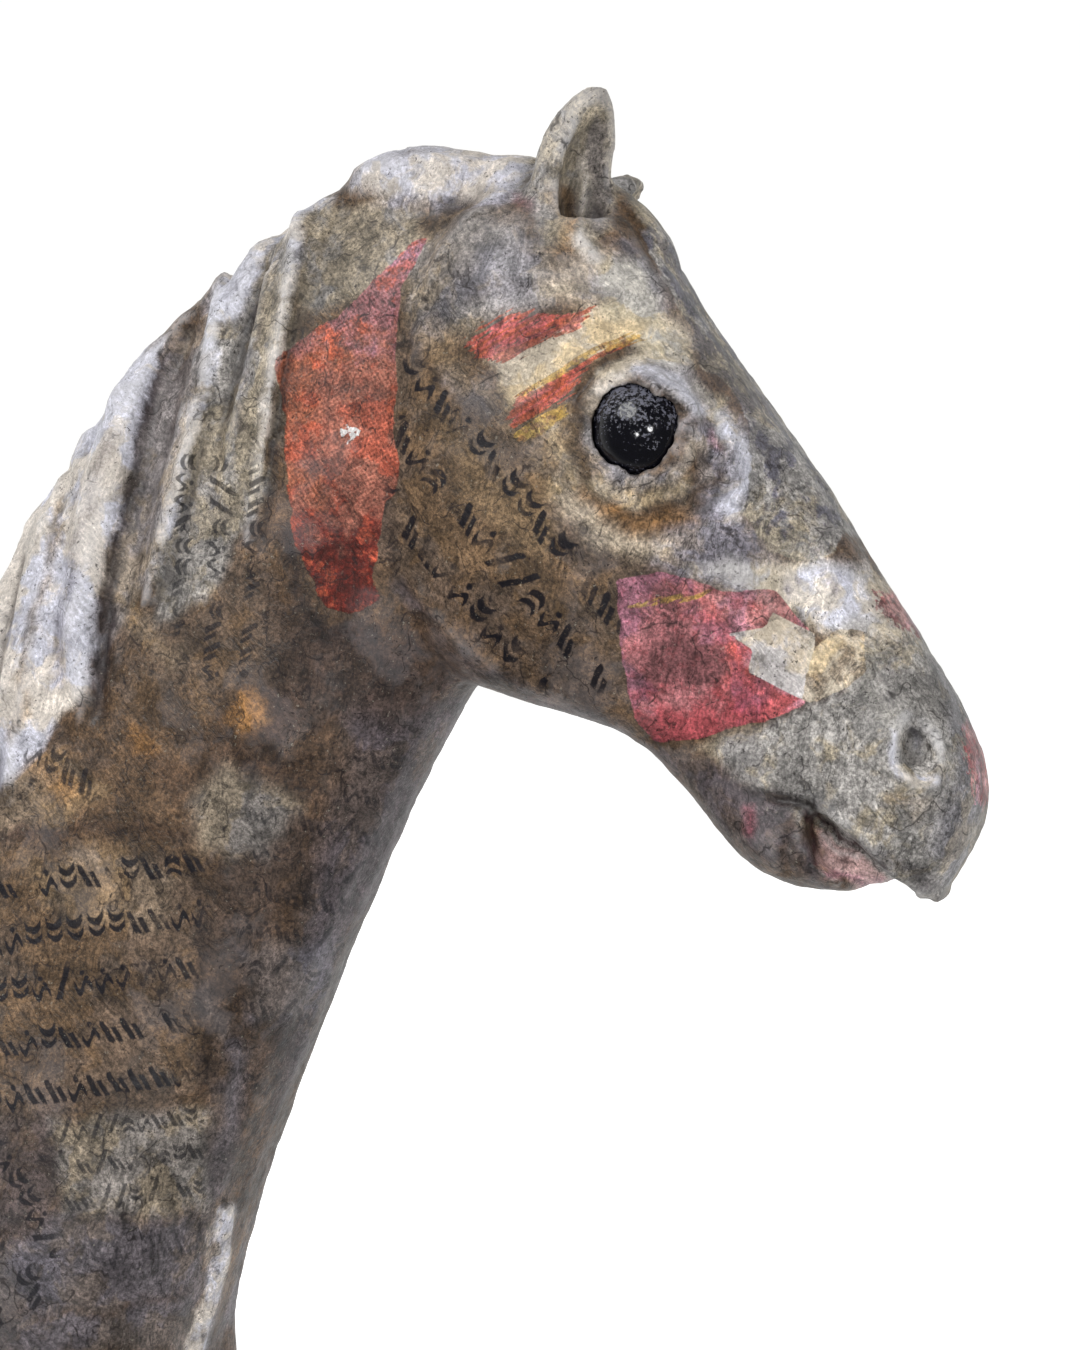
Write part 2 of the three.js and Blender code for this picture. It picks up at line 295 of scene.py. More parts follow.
@dataclass(frozen=True)
class Mark:
    """A place in the side picture: the area inside a line, or a band along it when it has a width."""

    line: Line
    width: float = 0.0
    feather: float = 14.0
    side: Side = Side.BOTH

    def away(self, places: np.ndarray, closed: bool) -> np.ndarray:
        """Measure how far places are from the line.

        Args:
            places: Places in the picture, one a row.
            closed: True if the line returns to its start.

        Returns:
            The distances, in picture units.
        """
        ends = list(zip(self.line, self.line[1:] + self.line[:1]))
        best = np.full(len(places), np.inf)
        for start, end in ends if closed else ends[:-1] or ends:
            origin = np.array(start)
            run = np.array(end) - origin
            share = np.clip((places - origin) @ run / max(run @ run, 1e-9), 0, 1)
            best = np.minimum(best, np.hypot(*(places - origin - share[:, None] * run).T))
        return best

    def depth(self, places: np.ndarray) -> np.ndarray:
        """Measure how deep places lie inside the closed line.

        Args:
            places: Places in the picture, one a row.

        Returns:
            Picture units, positive inside and negative outside.
        """
        x, y = places.T
        inside = np.zeros(len(places), bool)
        for (ax, ay), (bx, by) in zip(self.line, self.line[1:] + self.line[:1]):
            if ay != by:
                crosses = (ay > y) != (by > y)
                inside ^= crosses & (x < (bx - ax) * (y - ay) / (by - ay) + ax)
        return np.where(inside, 1, -1) * self.away(places, closed=True)

    def cover(self, skin: Skin) -> np.ndarray:
        """Say how strongly the mark covers each point of a surface.

        Args:
            skin: The surface.

        Returns:
            0 to 1 for each point.
        """
        if self.width:
            share = smooth(1 - self.away(skin.places, closed=False) / self.width)
        else:
            share = smooth(0.5 + self.depth(skin.places) / self.feather)
        return share * self.side.share(skin.points[:, 1])


def band(width: float, *line: Place, side: Side = Side.BOTH) -> Mark:
    """Mark a band along a line.

    Args:
        width: How far the band reaches from the line, in picture units.
        line: The line's points.
        side: The side of the horse it lies on.

    Returns:
        The mark.
    """
    return Mark(line, width=width, side=side)


def area(feather: float, *line: Place, side: Side = Side.BOTH) -> Mark:
    """Mark the area inside a closed line.

    Args:
        feather: How wide its soft edge is, in picture units.
        line: The line's points.
        side: The side of the horse it lies on.

    Returns:
        The mark.
    """
    return Mark(line, feather=feather, side=side)


@dataclass(frozen=True)
class Relief:
    """A stroke of the modelling tool: how far a mark is raised or pressed in, in millimetres."""

    height: float
    mark: Mark


@dataclass(frozen=True)
class Wash:
    """A coat of thin paint over one mark."""

    pigment: Pigment
    strength: float
    mark: Mark


@dataclass(frozen=True)
class Scrap:
    """A torn scrap of coloured paper, or several of the same paper."""

    name: str
    outlines: tuple[Mark, ...]
    reach: float = 9.0  # how far from its edge the depth is measured, in millimetres

    def depth(self, skin: Skin) -> np.ndarray:
        """Measure how deep each point lies inside the scrap.

        Args:
            skin: The surface the scrap is pasted on.

        Returns:
            Millimetres, positive inside.
        """
        deepest = np.full(len(skin.points), -self.reach)
        for outline in self.outlines:
            depth = outline.depth(skin.places) * PICTURE.unit / MM
            off_side = (1 - outline.side.share(skin.points[:, 1])) * self.reach
            deepest = np.maximum(deepest, np.clip(depth, -self.reach, self.reach) - off_side)
        return deepest


@dataclass(frozen=True)
class PrintBlock:
    """Rows of worn strokes on one scrap of newspaper. The strokes are dashes, curves and waves."""

    origin: Place
    turn: float  # how far the rows fall to the right, in degrees
    pitch: float  # from row to row, in picture units
    cell: float  # the width of one stroke's cell
    strength: float
    mark: Mark

    def rows(self, skin: Skin, number: int) -> np.ndarray:
        """Lay the rows over a surface.

        Args:
            skin: The surface.
            number: The block's number, which keeps its strokes unlike the other blocks'.

        Returns:
            For each point: the cell along its row, the row, and how strongly it is printed.
        """
        angle = math.radians(self.turn)
        offset = skin.places - np.array(self.origin)
        along = offset @ [math.cos(angle), math.sin(angle)] / self.cell
        across = offset @ [-math.sin(angle), math.cos(angle)] / self.pitch
        strength = self.mark.cover(skin) * self.strength
        cell = along + STROKE_CELLS * number
        row = across + 0.5 + STROKE_ROWS * number
        return np.stack([cell, row, strength], axis=1)


class Graph:
    """A material's or the world's nodes, made by one method."""

    def __init__(self, owner: bpy.types.ID) -> None:
        """Start an empty node tree.

        Args:
            owner: The material or the world that the nodes belong to.
        """
        owner.use_nodes = True
        self.tree = owner.node_tree
        self.tree.nodes.clear()

    def node(
        self, kind: str, settings: dict | None = None, sockets: dict | None = None, out: int = 0
    ) -> "Value":
        """Add a node.

        Args:
            kind: The node's type.
            settings: Its settings, by name.
            sockets: Values or links for its sockets, by name or number.
            out: Which output is returned.

        Returns:
            The node's output.
        """
        made = self.tree.nodes.new(kind)
        for name, setting in (settings or {}).items():
            setattr(made, name, setting)
        for name, value in (sockets or {}).items():
            if isinstance(value, Value):
                self.tree.links.new(value.socket, made.inputs[name])
            else:
                made.inputs[name].default_value = value
        return Value(self, made.outputs[out] if made.outputs else None)

    def attribute(self, name: str, out: int = 2) -> "Value":
        """Read an attribute: its factor, or its colour with out=0 or its vector with out=1."""
        return self.node("ShaderNodeAttribute", {"attribute_name": name}, out=out)

    def vector(self, operation: str, *values: object, scale: object = None) -> "Value":
        """Do a sum on vectors or colours.

        Args:
            operation: The Vector Math operation.
            values: The vectors.
            scale: The number for SCALE.

        Returns:
            The resulting vector.
        """
        sockets = dict(enumerate(values))
        if scale is not None:
            sockets[3] = scale
        return self.node("ShaderNodeVectorMath", {"operation": operation}, sockets)

    def along(self, vector: "Value", direction: np.ndarray) -> "Value":
        """Measure how far a vector goes in a direction."""
        sockets = {0: vector, 1: tuple(direction)}
        return self.node("ShaderNodeVectorMath", {"operation": "DOT_PRODUCT"}, sockets, out=1)

    def moved(self, place: "Value", drift: "Value", reach: float) -> "Value":
        """Move a place about.

        Args:
            place: The place.
            drift: A noise's colour, which says where to.
            reach: How far apart its least and its greatest colour move the place.

        Returns:
            The new place.
        """
        centred = self.vector("SUBTRACT", drift, (0.5, 0.5, 0.5))
        return self.vector("ADD", place, self.vector("SCALE", centred, scale=reach))

    def mix(self, factor: object, under: object, over: object) -> "Value":
        """Lay one colour over another.

        Args:
            factor: How strongly the upper colour covers.
            under: The lower colour: a pigment, three numbers or a socket.
            over: The upper colour.

        Returns:
            The mixed colour.
        """
        sockets = {0: factor}
        for number, side in ((6, under), (7, over)):
            paint = side.paint() if isinstance(side, Pigment) else side
            sockets[number] = (*paint, 1.0) if isinstance(paint, tuple) else paint
        return self.node("ShaderNodeMix", {"data_type": "RGBA", "blend_type": "MIX"}, sockets, out=2)

    def noise(
        self, vector: "Value", scale: float, detail: float, roughness: float = 0.6, out: int = 0
    ) -> "Value":
        """Add a noise texture.

        Args:
            vector: Where it is read.
            scale: Patterns per unit of the vector.
            detail: How many finer patterns are added.
            roughness: How strong the finer patterns are.
            out: 0 for its value, 1 for its colour.

        Returns:
            The noise, 0 to 1.
        """
        sockets = {"Vector": vector, "Scale": scale, "Detail": detail, "Roughness": roughness}
        return self.node("ShaderNodeTexNoise", None, sockets, out)

    def parts(self, vector: "Value") -> tuple["Value", "Value", "Value"]:
        """Split a vector into its three numbers."""
        split = self.node("ShaderNodeSeparateXYZ", None, {0: vector})
        return tuple(Value(self, socket) for socket in split.socket.node.outputs)

    def joined(self, x: object, y: object, z: object) -> "Value":
        """Join three numbers into a vector."""
        return self.node("ShaderNodeCombineXYZ", None, {0: x, 1: y, 2: z})

    def millimetres(self) -> "Value":
        """Give the place on the object in millimetres."""
        return self.vector("SCALE", self.node("ShaderNodeTexCoord", out=3), scale=1 / MM)

    def surface(self, sockets: dict) -> None:
        """Finish a material.

        Args:
            sockets: Values or links for the shader's sockets, by name.
        """
        shader = self.node("ShaderNodeBsdfPrincipled", None, sockets)
        self.node("ShaderNodeOutputMaterial", None, {0: shader})


class Value:
    """A socket of a node tree, on which sums are written as Python sums."""

    def __init__(self, graph: Graph, socket: bpy.types.NodeSocket) -> None:
        """Wrap a socket.

        Args:
            graph: The node tree it belongs to.
            socket: The output socket.
        """
        self.graph = graph
        self.socket = socket

    def math(self, operation: str, *others: object, first: object = None) -> "Value":
        """Add a Math node.

        Args:
            operation: Its operation.
            others: The numbers after this one.
            first: A number that stands before this one.

        Returns:
            The result.
        """
        values = [self, *others] if first is None else [first, self, *others]
        return self.graph.node("ShaderNodeMath", {"operation": operation}, dict(enumerate(values)))

    def __add__(self, other: object) -> "Value":
        """Add."""
        return self.math("ADD", other)

    def __sub__(self, other: object) -> "Value":
        """Subtract."""
        return self.math("SUBTRACT", other)

    def __mul__(self, other: object) -> "Value":
        """Multiply."""
        return self.math("MULTIPLY", other)

    def __rsub__(self, other: object) -> "Value":
        """Subtract this from a number."""
        return self.math("SUBTRACT", first=other)

    __radd__ = __add__
    __rmul__ = __mul__

    def size(self) -> "Value":
        """Drop the sign."""
        return self.math("ABSOLUTE")

    def least(self, other: object) -> "Value":
        """Take the smaller of two."""
        return self.math("MINIMUM", other)

    def most(self, other: object) -> "Value":
        """Take the larger of two."""
        return self.math("MAXIMUM", other)

    def over(self, edge: object) -> "Value":
        """Give 1 above an edge and 0 below."""
        return self.math("GREATER_THAN", edge)

    def ramp(self, low: float, high: float, start: float = 0.0, end: float = 1.0) -> "Value":
        """Step smoothly from one number to another as this value rises.

        Args:
            low: Where the step starts.
            high: Where it ends.
            start: The number before the step.
            end: The number after it.

        Returns:
            The stepped value.
        """
        if low > high:
            low, high, start, end = high, low, end, start
        sockets = {0: self, 1: low, 2: high, 3: start, 4: end}
        return self.graph.node("ShaderNodeMapRange", {"interpolation_type": "SMOOTHSTEP"}, sockets)


@dataclass(frozen=True)
class Modelling:
    """What the modelling tool and the fingers did to the soft paper."""

    strokes: tuple[Relief, ...] = (
        # Lids, brow and the bag under the eye
        Relief(-0.22, band(9, (582, 388), (606, 362), (645, 350), (682, 364), (706, 396))),
        Relief(0.20, band(15, (520, 404), (556, 372), (602, 346), (652, 334))),
        Relief(-0.16, band(6, (566, 430), (572, 402), (590, 376))),
        Relief(-0.13, band(5, (555, 424), (561, 398), (576, 374))),
        Relief(0.26, band(15, (594, 474), (618, 500), (650, 508), (684, 496), (708, 474))),
        Relief(-0.24, band(11, (584, 490), (612, 522), (652, 534), (694, 520), (724, 492))),
        Relief(-0.30, band(8, (690, 440), (708, 460), (722, 470))),
        Relief(0.25, band(12, (726, 424), (744, 450), (750, 476), (738, 502))),
        # Bone under the eye, jaw plate, hollow over the eye
        Relief(0.16, band(22, (716, 540), (770, 590), (812, 648))),
        Relief(0.20, band(16, (400, 560), (452, 634), (520, 684), (600, 706))),
        Relief(-0.22, band(14, (470, 300), (500, 292), (548, 288), (590, 296))),
        Relief(-0.14, band(8, (430, 250), (412, 300), (406, 350), (408, 400))),
        # Nostril, lips and chin
        Relief(-0.62, area(
            12, (916, 722), (926, 732), (928, 748), (922, 764), (911, 764), (904, 748), (906, 732))),
        Relief(-0.90, band(11, (892, 888), (908, 898))),
        Relief(0.25, band(8, (936, 896), (940, 893))),
        Relief(0.30, band(
            8, (906, 716), (894, 736), (896, 764), (911, 786), (934, 788), (943, 766), (936, 736))),
        Relief(0.24, band(9, (800, 792), (830, 810), (862, 836), (893, 866), (918, 888))),
        Relief(-0.50, band(8, (772, 799), (790, 800), (808, 806))),
        Relief(-0.16, band(8, (790, 826), (782, 850), (790, 872))),
        Relief(0.14, band(7, (812, 846), (820, 868), (842, 884))),
        Relief(-0.28, band(6, (842, 884), (843, 885))),
        Relief(0.20, band(9, (926, 888), (934, 892))),
        Relief(-0.12, band(5, (868, 690), (830, 694), (798, 708), (760, 728), (700, 741), (640, 738))),
        # Ears and the tuft between them
        Relief(0.22, band(6, (588, 150), (585, 180), (581, 215), (577, 246), side=NEAR)),
        Relief(0.45, band(9, (580, 238), (590, 252), (598, 260), side=NEAR)),
        Relief(-0.25, band(10, (500, 240), (530, 262), (566, 268))),
        Relief(-0.20, band(8, (612, 190), (634, 222), (650, 252), (664, 284))),
        Relief(0.25, band(14, (360, 170), (410, 156), (470, 162), (520, 168))),
        Relief(-0.16, band(9, (352, 204), (410, 196), (470, 204), (520, 196))),
        Relief(-0.25, band(7, (398, 146), (420, 176), (446, 190))),
        # Mane on the right side: two sharp ridges, the deep recess and the locks behind it
        Relief(0.42, band(
            10, (302, 196), (296, 226), (287, 295), (274, 360), (260, 465), (248, 540), side=NEAR)),
        Relief(-0.24, band(
            9, (318, 206), (308, 250), (298, 310), (286, 372), (272, 470), (262, 540), side=NEAR)),
        Relief(-0.30, band(13, (280, 226), (266, 300), (250, 380), (236, 460), (226, 520), side=NEAR)),
        Relief(0.14, band(8, (258, 240), (240, 310), (226, 380), (208, 460), (200, 540), side=NEAR)),
        Relief(0.45, band(
            10, (236, 250), (219, 285), (205, 380), (185, 450), (165, 520), (148, 600), side=NEAR)),
        Relief(-0.16, band(8, (226, 330), (212, 400), (196, 470), (178, 540), side=NEAR)),
        Relief(-0.34, band(13, (196, 300), (178, 370), (158, 450), (140, 520), (126, 600), side=NEAR)),
        Relief(-0.50, band(14, (186, 330), (152, 400), (126, 520), (108, 590), (97, 710), side=NEAR)),
        Relief(0.20, band(6, (170, 350), (140, 440), (120, 540), side=NEAR)),
        Relief(0.30, band(22, (140, 350), (116, 430), (88, 520), (72, 600), (64, 690), side=NEAR)),
        Relief(-0.35, band(9, (70, 470), (48, 560), (34, 660), (18, 760), side=NEAR)),
        Relief(0.35, band(11, (86, 430), (60, 520), (45, 580), (30, 670), (8, 800), side=NEAR)),
        Relief(0.40, band(13, (42, 520), (20, 600), (0, 700), (-22, 800), side=NEAR)),
        Relief(-0.40, band(8, (24, 560), (2, 660), (-24, 770), side=NEAR)),
        # Ridge of paste down the front of the chest
        Relief(0.45, band(9, (228, 1206), (222, 1260), (212, 1300), (192, 1360), (168, 1420), side=NEAR)),
        Relief(-0.25, band(9, (244, 1220), (238, 1280), (226, 1330), side=NEAR)),
    )
    lumps: float = 0.16  # how far the fingers' lumps stand out, in millimetres
    broad_lump: float = 5.5 * MM
    small_lump: float = 1.9 * MM
    grit: float = 0.045  # how far the pulp's own roughness stands out
    grit_size: float = 0.8 * MM
    crust: float = 0.16  # how far the crust on the lids stands out
    crust_size: float = 0.9 * MM
    crust_reach: float = 2.2  # how far from the balls it goes, in millimetres


@dataclass(frozen=True)
class Painting:
    """The washes, from the ground up."""

    ground: Pigment = Pigment.TOBACCO
    tearing: float = 10.0  # how far the edges of the washes wander, in picture units
    tear_size: float = 2.6 * MM
    washes: tuple[Wash, ...] = (
        # Neck: brown paper, a greyer front, bluish seams between the papers, amber stains
        Wash(Pigment.NEWSPRINT, 0.75, area(
            12, (-300, 850), (120, 846), (204, 860), (196, 1100), (60, 1130), (-300, 1150))),
        Wash(Pigment.CLAY, 0.5, area(20, (20, 860), (110, 850), (170, 880), (160, 930), (60, 920))),
        Wash(Pigment.UMBER, 0.6, area(
            40, (210, 700), (500, 640), (430, 860), (340, 1080), (240, 1300), (210, 1000))),
        Wash(Pigment.LEAD, 0.8, area(
            40, (350, 700), (500, 660), (450, 860), (350, 1100), (250, 1250), (290, 1000))),
        Wash(Pigment.SLATE, 0.55, area(26, (246, 950), (330, 940), (330, 1010), (250, 1020))),
        Wash(Pigment.SLATE, 0.5, band(22, (205, 1000), (236, 1050), (228, 1130), (212, 1190))),
        Wash(Pigment.UMBER, 0.8, band(14, (-60, 836), (90, 832), (200, 838), (260, 860))),
        Wash(Pigment.SOOT, 0.6, band(9, (190, 860), (204, 930), (200, 1010), (206, 1090))),
        Wash(Pigment.UMBER, 0.6, area(
            26, (120, 740), (190, 760), (280, 690), (320, 780), (230, 830), (160, 800))),
        Wash(Pigment.CLAY, 0.6, area(16, (-60, 760), (60, 750), (110, 790), (60, 826), (-60, 830))),
        Wash(Pigment.STONE, 0.5, area(26, (190, 800), (230, 760), (300, 800), (260, 860), (200, 850))),
        Wash(Pigment.LEAD, 0.5, area(30, (-300, 1130), (60, 1110), (60, 1300), (-300, 1400))),
        Wash(Pigment.STONE, 0.55, area(16, (50, 1120), (210, 1110), (205, 1210), (60, 1220))),
        Wash(Pigment.SLATE, 0.6, area(24, (60, 1220), (210, 1215), (196, 1350), (40, 1360), (-100, 1300))),
        Wash(Pigment.UMBER, 0.6, band(9, (0, 1312), (100, 1316), (190, 1290))),
        Wash(Pigment.AMBER, 0.85, area(10, (232, 690), (256, 690), (268, 716), (246, 736), (228, 720))),
        Wash(Pigment.AMBER, 0.7, area(10, (128, 728), (150, 726), (156, 750), (136, 758))),
        Wash(Pigment.AMBER, 0.45, band(24, (30, 760), (70, 790))),
        Wash(Pigment.NEWSPRINT, 0.7, area(30, (150, 560), (262, 470), (262, 660), (200, 720), (120, 700))),
        # Throat shadow
        Wash(Pigment.UMBER, 0.85, area(
            40, (280, 600), (330, 630), (400, 616), (470, 670), (400, 730), (280, 700))),
        Wash(Pigment.SOOT, 0.9, band(17, (288, 530), (298, 590), (326, 634), (372, 634))),
        Wash(Pigment.SOOT, 0.6, band(16, (390, 500), (396, 580), (436, 640), (480, 672))),
        Wash(Pigment.UMBER, 0.6, band(22, (340, 640), (380, 650), (420, 670))),
        # Cheek: newspaper, darker below, grey above
        Wash(Pigment.STONE, 0.5, area(
            30, (400, 250), (480, 200), (520, 230), (520, 300), (470, 340), (410, 330))),
        Wash(Pigment.SLATE, 0.65, band(28, (420, 340), (450, 300), (490, 260), (530, 262))),
        Wash(Pigment.STONE, 0.7, area(
            16, (310, 200), (420, 205), (430, 240), (390, 280), (300, 325), (296, 260))),
        Wash(Pigment.NEWSPRINT, 0.95, area(
            24, (392, 330), (440, 344), (490, 420), (560, 500), (640, 566), (620, 700), (480, 664),
            (396, 580))),
        Wash(Pigment.CLAY, 0.4, area(26, (440, 420), (480, 430), (560, 520), (540, 560), (470, 500))),
        Wash(Pigment.TOBACCO, 0.7, area(
            34, (420, 560), (500, 590), (600, 650), (624, 706), (560, 716), (460, 668), (396, 600))),
        Wash(Pigment.LEAD, 0.6, band(13, (400, 590), (460, 660), (540, 700), (630, 728))),
        # Temple, brow and forehead
        Wash(Pigment.PUTTY, 0.8, area(
            22, (500, 232), (560, 262), (600, 250), (660, 280), (700, 350), (640, 356), (560, 300),
            (480, 300))),
        Wash(Pigment.SLATE, 0.5, area(24, (480, 240), (530, 258), (556, 282), (520, 300), (476, 290))),
        Wash(Pigment.LEAD, 0.6, band(10, (510, 236), (536, 262), (560, 274))),
        Wash(Pigment.CLAY, 0.6, band(14, (606, 300), (640, 326), (664, 350))),
        Wash(Pigment.BONE, 0.9, area(
            16, (600, 262), (640, 262), (672, 320), (694, 370), (650, 356), (600, 312))),
        Wash(Pigment.SLATE, 0.7, band(9, (622, 244), (640, 262), (654, 290))),
        Wash(Pigment.SAND, 0.95, area(
            10, (488, 352), (560, 330), (590, 312), (650, 330), (570, 368), (508, 410), (496, 384))),
        Wash(Pigment.SLATE, 0.8, area(
            14, (436, 368), (462, 368), (490, 392), (506, 430), (480, 420), (450, 392))),
        Wash(Pigment.CLAY, 0.7, area(
            20, (530, 430), (560, 400), (590, 470), (610, 510), (660, 532), (640, 566), (570, 520),
            (530, 470))),
        Wash(Pigment.SAND, 0.5, band(12, (545, 420), (570, 470), (600, 500))),
        Wash(Pigment.STONE, 0.5, band(8, (540, 288), (600, 294), (650, 304))),
        Wash(Pigment.LILAC, 0.8, area(
            18, (690, 420), (720, 430), (748, 512), (800, 580), (740, 600), (650, 566), (660, 530),
            (712, 496))),
        Wash(Pigment.BONE, 0.7, area(
            12, (660, 372), (700, 380), (728, 400), (722, 440), (704, 420), (680, 392))),
        # Round the eye
        Wash(Pigment.PUTTY, 0.9, band(15, (588, 412), (600, 384), (640, 366), (684, 376), (704, 410))),
        Wash(Pigment.CREAM, 0.8, band(10, (600, 372), (650, 356), (684, 366))),
        Wash(Pigment.PUTTY, 0.8, band(12, (588, 430), (600, 466), (640, 484), (676, 474), (698, 440))),
        Wash(Pigment.AMBER, 0.8, band(16, (592, 492), (620, 516), (652, 523), (690, 512))),
        Wash(Pigment.CLAY, 0.5, band(11, (600, 490), (640, 504), (690, 492))),
        Wash(Pigment.UMBER, 0.75, band(9, (704, 478), (720, 476), (728, 470))),
        Wash(Pigment.CHALK, 1.0, band(22, (728, 426), (742, 450), (746, 476), (734, 504))),
        Wash(Pigment.UMBER, 0.4, band(5, (560, 450), (566, 414), (584, 386))),
        Wash(Pigment.SLATE, 0.6, band(9, (596, 462), (640, 484), (684, 462))),
        Wash(Pigment.CHALK, 0.8, band(12, (600, 386), (640, 368), (680, 380), (698, 410))),
        Wash(Pigment.SAND, 0.6, band(12, (600, 480), (640, 500), (690, 484))),
        Wash(Pigment.SAND, 0.5, band(22, (560, 490), (600, 530), (660, 552))),
        Wash(Pigment.CLAY, 0.5, band(22, (430, 330), (450, 360), (520, 440))),
        Wash(Pigment.BLUSH, 0.45, band(8, (712, 436), (718, 444))),
        # Nose
        Wash(Pigment.CREAM, 0.85, area(
            20, (690, 566), (800, 556), (862, 560), (934, 644), (860, 640), (780, 608))),
        Wash(Pigment.CHALK, 0.95, area(18, (786, 566), (850, 560), (890, 610), (830, 622), (790, 600))),
        # Muzzle
        Wash(Pigment.STONE, 0.95, area(
            20, (866, 640), (930, 640), (1010, 760), (980, 900), (900, 900), (780, 800), (700, 752),
            (800, 706))),
        Wash(Pigment.BONE, 0.35, band(18, (870, 660), (880, 700), (892, 730))),
        Wash(Pigment.SLATE, 0.6, area(
            24, (940, 660), (980, 720), (990, 820), (950, 890), (930, 850), (956, 760))),
        Wash(Pigment.CLAY, 0.45, band(13, (890, 800), (930, 806), (920, 822))),
        Wash(Pigment.LEAD, 0.8, area(
            20, (640, 742), (720, 770), (786, 806), (806, 840), (830, 890), (740, 850), (690, 790))),
        Wash(Pigment.LEAD, 0.55, area(12, (840, 830), (880, 860), (930, 893), (950, 880), (900, 860))),
        Wash(Pigment.SOOT, 0.7, band(13, (744, 790), (780, 796), (812, 806))),
        Wash(Pigment.SOOT, 0.4, band(9, (812, 800), (850, 812), (880, 836))),
        # Painted shadow: a dark line under the lower edge of the red and tan scraps
        Wash(Pigment.UMBER, 0.8, band(4, (775, 719), (800, 707), (820, 697), (852, 688))),
        Wash(Pigment.CHALK, 0.95, band(7, (890, 728), (894, 752), (904, 772), (922, 781), (938, 780))),
        Wash(Pigment.VIOLET, 0.7, band(4, (790, 578), (796, 594))),
        Wash(Pigment.VIOLET, 0.6, band(3, (804, 576), (800, 590))),
        Wash(Pigment.VIOLET, 0.7, band(4, (822, 570), (830, 586))),
        Wash(Pigment.VIOLET, 0.5, band(3, (836, 566), (842, 578))),
        Wash(Pigment.SLATE, 0.6, area(8, (908, 726), (918, 724), (924, 736), (920, 750), (912, 750))),
        Wash(Pigment.CREAM, 0.6, band(4, (930, 730), (938, 752))),
        Wash(Pigment.MADDER, 0.5, band(9, (744, 806), (752, 830))),
        # Ears
        Wash(Pigment.STONE, 0.85, area(
            10, (516, 190), (536, 110), (600, 70), (640, 110), (620, 180), (600, 250), (540, 250))),
        Wash(Pigment.SLATE, 0.8, area(
            8, (592, 110), (612, 120), (610, 200), (600, 240), (588, 230), (590, 160), side=NEAR)),
        Wash(Pigment.AMBER, 0.6, band(9, (562, 190), (574, 220), (568, 250), side=NEAR)),
        Wash(Pigment.CLAY, 0.7, band(14, (548, 190), (566, 220), (560, 250))),
        Wash(Pigment.MADDER, 0.4, band(9, (520, 204), (530, 212))),
        Wash(Pigment.UMBER, 0.5, band(9, (530, 240), (560, 258), (572, 262))),
        Wash(Pigment.CHALK, 1.0, band(11, (582, 238), (594, 258), side=NEAR)),
        Wash(Pigment.CHALK, 0.8, band(7, (586, 160), (583, 214), side=NEAR)),
        Wash(Pigment.BONE, 0.7, band(10, (614, 182), (640, 206), (660, 240), (676, 280))),
        # Mane: the lilac tuft, two sharp pale ridges with grey between, a dark recess, the pale locks
        Wash(Pigment.CHALK, 0.8, area(
            14, (348, 176), (360, 156), (440, 136), (530, 156), (520, 200), (440, 204), (380, 200))),
        Wash(Pigment.LILAC, 0.6, band(9, (380, 206), (430, 206), (500, 200))),
        Wash(Pigment.CHALK, 0.9, area(
            14, (350, 180), (300, 194), (250, 240), (208, 290), (206, 330), (240, 320), (290, 232))),
        Wash(Pigment.STONE, 0.8, area(
            14, (206, 330), (240, 320), (290, 232), (296, 330), (262, 500), (200, 600), (160, 620),
            (150, 560), (180, 440), side=NEAR)),
        Wash(Pigment.PUTTY, 0.6, area(
            14, (180, 330), (206, 330), (196, 420), (160, 560), (110, 640), (110, 560), (150, 420),
            side=NEAR)),
        Wash(Pigment.CHALK, 0.95, area(
            10, (166, 335), (145, 420), (122, 520), (107, 570), (95, 620), (92, 690), (60, 720),
            (-10, 800), (-300, 1200), (-500, 1200), (0, 540), (90, 380), side=NEAR)),
        Wash(Pigment.LILAC, 0.6, band(14, (110, 430), (80, 520), (66, 600), (60, 680), side=NEAR)),
        Wash(Pigment.CLAY, 0.7, band(9, (60, 500), (44, 570), (30, 650), (14, 740), side=NEAR)),
        Wash(Pigment.CLAY, 0.6, band(20, (120, 600), (150, 640), (180, 660), side=NEAR)),
        Wash(Pigment.LEAD, 0.8, band(
            9, (184, 335), (152, 400), (126, 520), (110, 590), (98, 700), side=NEAR)),
        Wash(Pigment.LEAD, 0.6, band(5, (262, 300), (248, 380), (236, 440), side=NEAR)),
        Wash(Pigment.UMBER, 0.6, band(9, (200, 330), (186, 380), (170, 430), side=NEAR)),
        Wash(Pigment.CHALK, 1.0, band(
            8, (302, 200), (296, 226), (287, 295), (274, 360), (262, 450), side=NEAR)),
        Wash(Pigment.CHALK, 0.95, band(8, (219, 290), (205, 380), (187, 450), (166, 530), side=NEAR)),
        Wash(Pigment.CREAM, 0.5, band(6, (262, 450), (250, 520), side=NEAR)),
        # Painted highlight: chalk white along the ridge of paste down the front of the chest
        Wash(Pigment.CHALK, 1.0, band(
            13, (226, 1210), (221, 1260), (212, 1300), (192, 1360), (168, 1420), side=NEAR)),
        # Mane on the left side and behind
        Wash(Pigment.PUTTY, 0.8, area(
            40, (340, 190), (200, 320), (60, 500), (-120, 800), (-320, 1300), (-560, 1400), (-400, 900),
            (0, 380), (240, 170), side=FAR)),
        # Flesh of the mouth
        Wash(Pigment.FLESH, 1.0, area(8, (814, 828), (850, 850), (890, 882), (850, 886), (822, 868))),
        Wash(Pigment.MAROON, 0.95, band(5, (806, 806), (811, 846), (818, 866))),
        Wash(Pigment.MAROON, 0.9, band(4, (808, 810), (824, 823), (854, 843), (890, 872))),
        Wash(Pigment.CREAM, 0.5, band(6, (822, 836), (836, 850), (856, 862))),
        Wash(Pigment.ROSE, 0.7, band(6, (830, 872), (860, 880), (880, 880))),
    )


